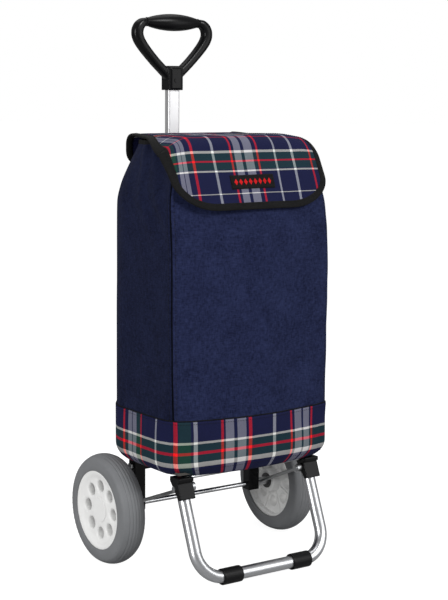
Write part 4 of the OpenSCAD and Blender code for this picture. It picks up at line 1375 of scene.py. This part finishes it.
handle_parts = [handle_arm(1), handle_arm(-1), *handle_socket()]
rounded = {
    "handle_frame": (melted("handle_moulding", handle_parts, 0.75 * MM, 9), "root"),
    "yoke": (softened("yoke", 1.2 * MM, 3), "root"),
    "left_post": (softened("left_post", 1.0 * MM, 3), "root"),
    "right_post": (softened("right_post", 1.0 * MM, 3), "root"),
    "left_hinge_bracket": (softened("left_hinge_bracket", 0.8 * MM, 8), "root"),
    "right_hinge_bracket": (softened("right_hinge_bracket", 0.8 * MM, 8), "root"),
    "upper_mast_loop": (softened("upper_mast_loop", 0.7 * MM, 2), "root"),
    "lower_mast_loop": (softened("lower_mast_loop", 0.7 * MM, 2), "root"),
    "left_foot_sleeve": (softened("left_foot_sleeve", 0.8 * MM, 5), "foot"),
    "right_foot_sleeve": (softened("right_foot_sleeve", 0.8 * MM, 5), "foot"),
    "left_hub_cap": (softened("left_hub_cap", 0.6 * MM, 3), "left_wheel"),
    "right_hub_cap": (softened("right_hub_cap", 0.6 * MM, 3), "right_wheel"),
}
for node, (piece, body) in rounded.items():
    finish, kind = black_plastic, "black_plastic"
    if "loop" in node:
        finish, kind = black_tape, "black_tape"
    if "sleeve" in node:
        finish, kind = foot_rubber, "foot_rubber"
    if "cap" in node:
        finish, kind = white_plastic, "white_plastic"
    dress(piece, finish, kind, body, node)

# %% The back board, kept just inside the cloth
BOARD_BACK_IN = -5.5 * MM
board = nodes["back_board"].data.copy()
board.transform(Matrix.Translation((0, BOARD_BACK_IN, 0)) @ nodes["back_board"].matrix_world)
dress(make_object("back_stiffener", board), stiff_board, "board", "root", "back_board")

# %% Rings at the ends of the grip
grip_low, grip_high = box("handle_grip")
grip_centre = (grip_low + grip_high) / 2
RING_R, RING_THICK = 6.9 * MM, 1.4 * MM
rings = []
for x in (grip_low[0] + 0.5 * MM, grip_high[0] - 0.5 * MM):
    turns = np.linspace(0, TURN, 48, endpoint=False)
    circle = [(x, grip_centre[1] + RING_R * math.cos(a), grip_centre[2] + RING_R * math.sin(a)) for a in turns]
    rings.append(SWEEP.grow("ring", polyline("ring", circle, True), black_plastic, wide=RING_THICK,
                            deep=RING_THICK, sides=10))
dress(joined("grip_rings", rings), black_plastic, "black_plastic", "root")

# %% [markdown]
# ## Finishes on the CAD parts
# Tubes, rods, axle, bolts and boards already have their true shape, so they only change their material.

# %% CAD parts that stay
KEPT = {
    aluminium: ("mast_tube",),
    foot_aluminium: ("foot_tube",),
    zinc: ("platform_wire", "left_stay", "right_stay", "left_hinge_pin", "right_hinge_pin", "post_bolts",
           "mast_screws", "left_axle_spacer", "right_axle_spacer", "axle_washers", "axle_retainers"),
    chrome: ("axle",),
    blackened: ("hub_washers",),
    soft_grip: ("handle_grip",),
    black_plastic: ("handle_screw", "left_hub_bush", "right_hub_bush", "left_leg_plug", "right_leg_plug"),
    stiff_board: ("base_board",),
}
for finish, names in KEPT.items():
    for name in names:
        for slot in nodes[name].material_slots:
            slot.link = "OBJECT"
            slot.material = finish
shown = [name for name, node in nodes.items() if not node.hide_render]
print(len(shown), "CAD nodes shown:", ", ".join(sorted(shown)))


# %% [markdown]
# ## Camera, floor and light
# The camera stands a little to the left, at the height of the handle, with a long lens. The floor that the camera
# sees glows a little, so that it stays as pale as the background. It lights nothing itself: a grey sheet just under
# it, which the camera never meets, gives the bounce. A key light and a card stand at the right front, a broad fill at
# the left reaches the wheels, and a soft light hangs above.

# %% Camera
camera = bpy.data.objects.new("camera", bpy.data.cameras.new("camera"))
bpy.context.collection.objects.link(camera)
RIGHT, UP, AHEAD = (0.81798, -0.57519, 0.00795), (0.07469, 0.11989, 0.98997), (0.57037, 0.80919, -0.14103)
axes = Matrix((RIGHT, UP, tuple(-part for part in AHEAD))).transposed()
camera.matrix_world = Matrix.Translation((-1.3999, -2.0041, 0.7749)) @ axes.to_4x4()
camera.data.lens = 91.0
camera.data.sensor_width = 36.0
camera.data.clip_start = 0.01
scene = bpy.context.scene
scene.camera = camera
scene.view_settings.view_transform = "Standard"

# %% Floor and surroundings
bpy.ops.mesh.primitive_plane_add(size=60.0)
ground = bpy.context.object
ground.name = "ground"
pale = Finish("pale_floor", roughness=0.9, specular_ior_level=0.0, emission_color=(1, 1, 1, 1),
              emission_strength=0.93)
pale.set(base_color=pale.blend(pale.grain(0.8), (0.29, 0.29, 0.29), (0.31, 0.31, 0.31)))
ground.data.materials.append(pale.material)
bpy.ops.mesh.primitive_plane_add(size=60.0, location=(0, 0, -2 * MM))
bounce = bpy.context.object
bounce.name = "floor_bounce"
bounce.visible_camera = False
matt = Finish("floor_bounce", roughness=0.9, specular_ior_level=0.0)
matt.set(base_color=matt.blend(matt.grain(0.8), (0.38, 0.38, 0.38), (0.40, 0.40, 0.40)))
bounce.data.materials.append(matt.material)
bpy.ops.mesh.primitive_uv_sphere_add(radius=28.0, segments=48, ring_count=24)
dome = bpy.context.object
dome.name = "pale_surroundings"
for ray in ("visible_diffuse", "visible_glossy", "visible_transmission", "visible_shadow",
            "visible_volume_scatter"):
    setattr(dome, ray, False)
    setattr(ground, ray, False)
glow = Finish("pale_glow", roughness=1.0, specular_ior_level=0.0, base_color=(0, 0, 0, 1),
              emission_color=(1, 1, 1, 1), emission_strength=1.0)
dome.data.materials.append(glow.material)
world = bpy.data.worlds.new("surroundings")
scene.world = world
world.use_nodes = True
world.node_tree.nodes["Background"].inputs["Color"].default_value = (1, 1, 1, 1)
world.node_tree.nodes["Background"].inputs["Strength"].default_value = 0.30


# %% Lights
def soft_light(name, place, target, size, power):
    lamp = bpy.data.objects.new(name, bpy.data.lights.new(name, "AREA"))
    bpy.context.collection.objects.link(lamp)
    lamp.data.shape = "RECTANGLE"
    lamp.data.size, lamp.data.size_y = size
    lamp.data.energy = power
    lamp.location = place
    lamp.rotation_euler = (Vector(target) - Vector(place)).to_track_quat("-Z", "Y").to_euler()


soft_light("key", (0.9, -2.6, 2.2), (0, 0, 0.4), (0.9, 0.9), 58.0)
soft_light("card", (1.7, -2.1, 0.7), (0, 0, 0.5), (1.0, 1.6), 11.0)
soft_light("fill", (-2.8, -0.7, 1.0), (0, 0, 0.25), (1.0, 1.6), 50.0)
soft_light("top", (0.2, 0.4, 2.8), (0, 0, 0.5), (2.2, 2.2), 26.0)

# %% The end
bpy.context.view_layer.update()
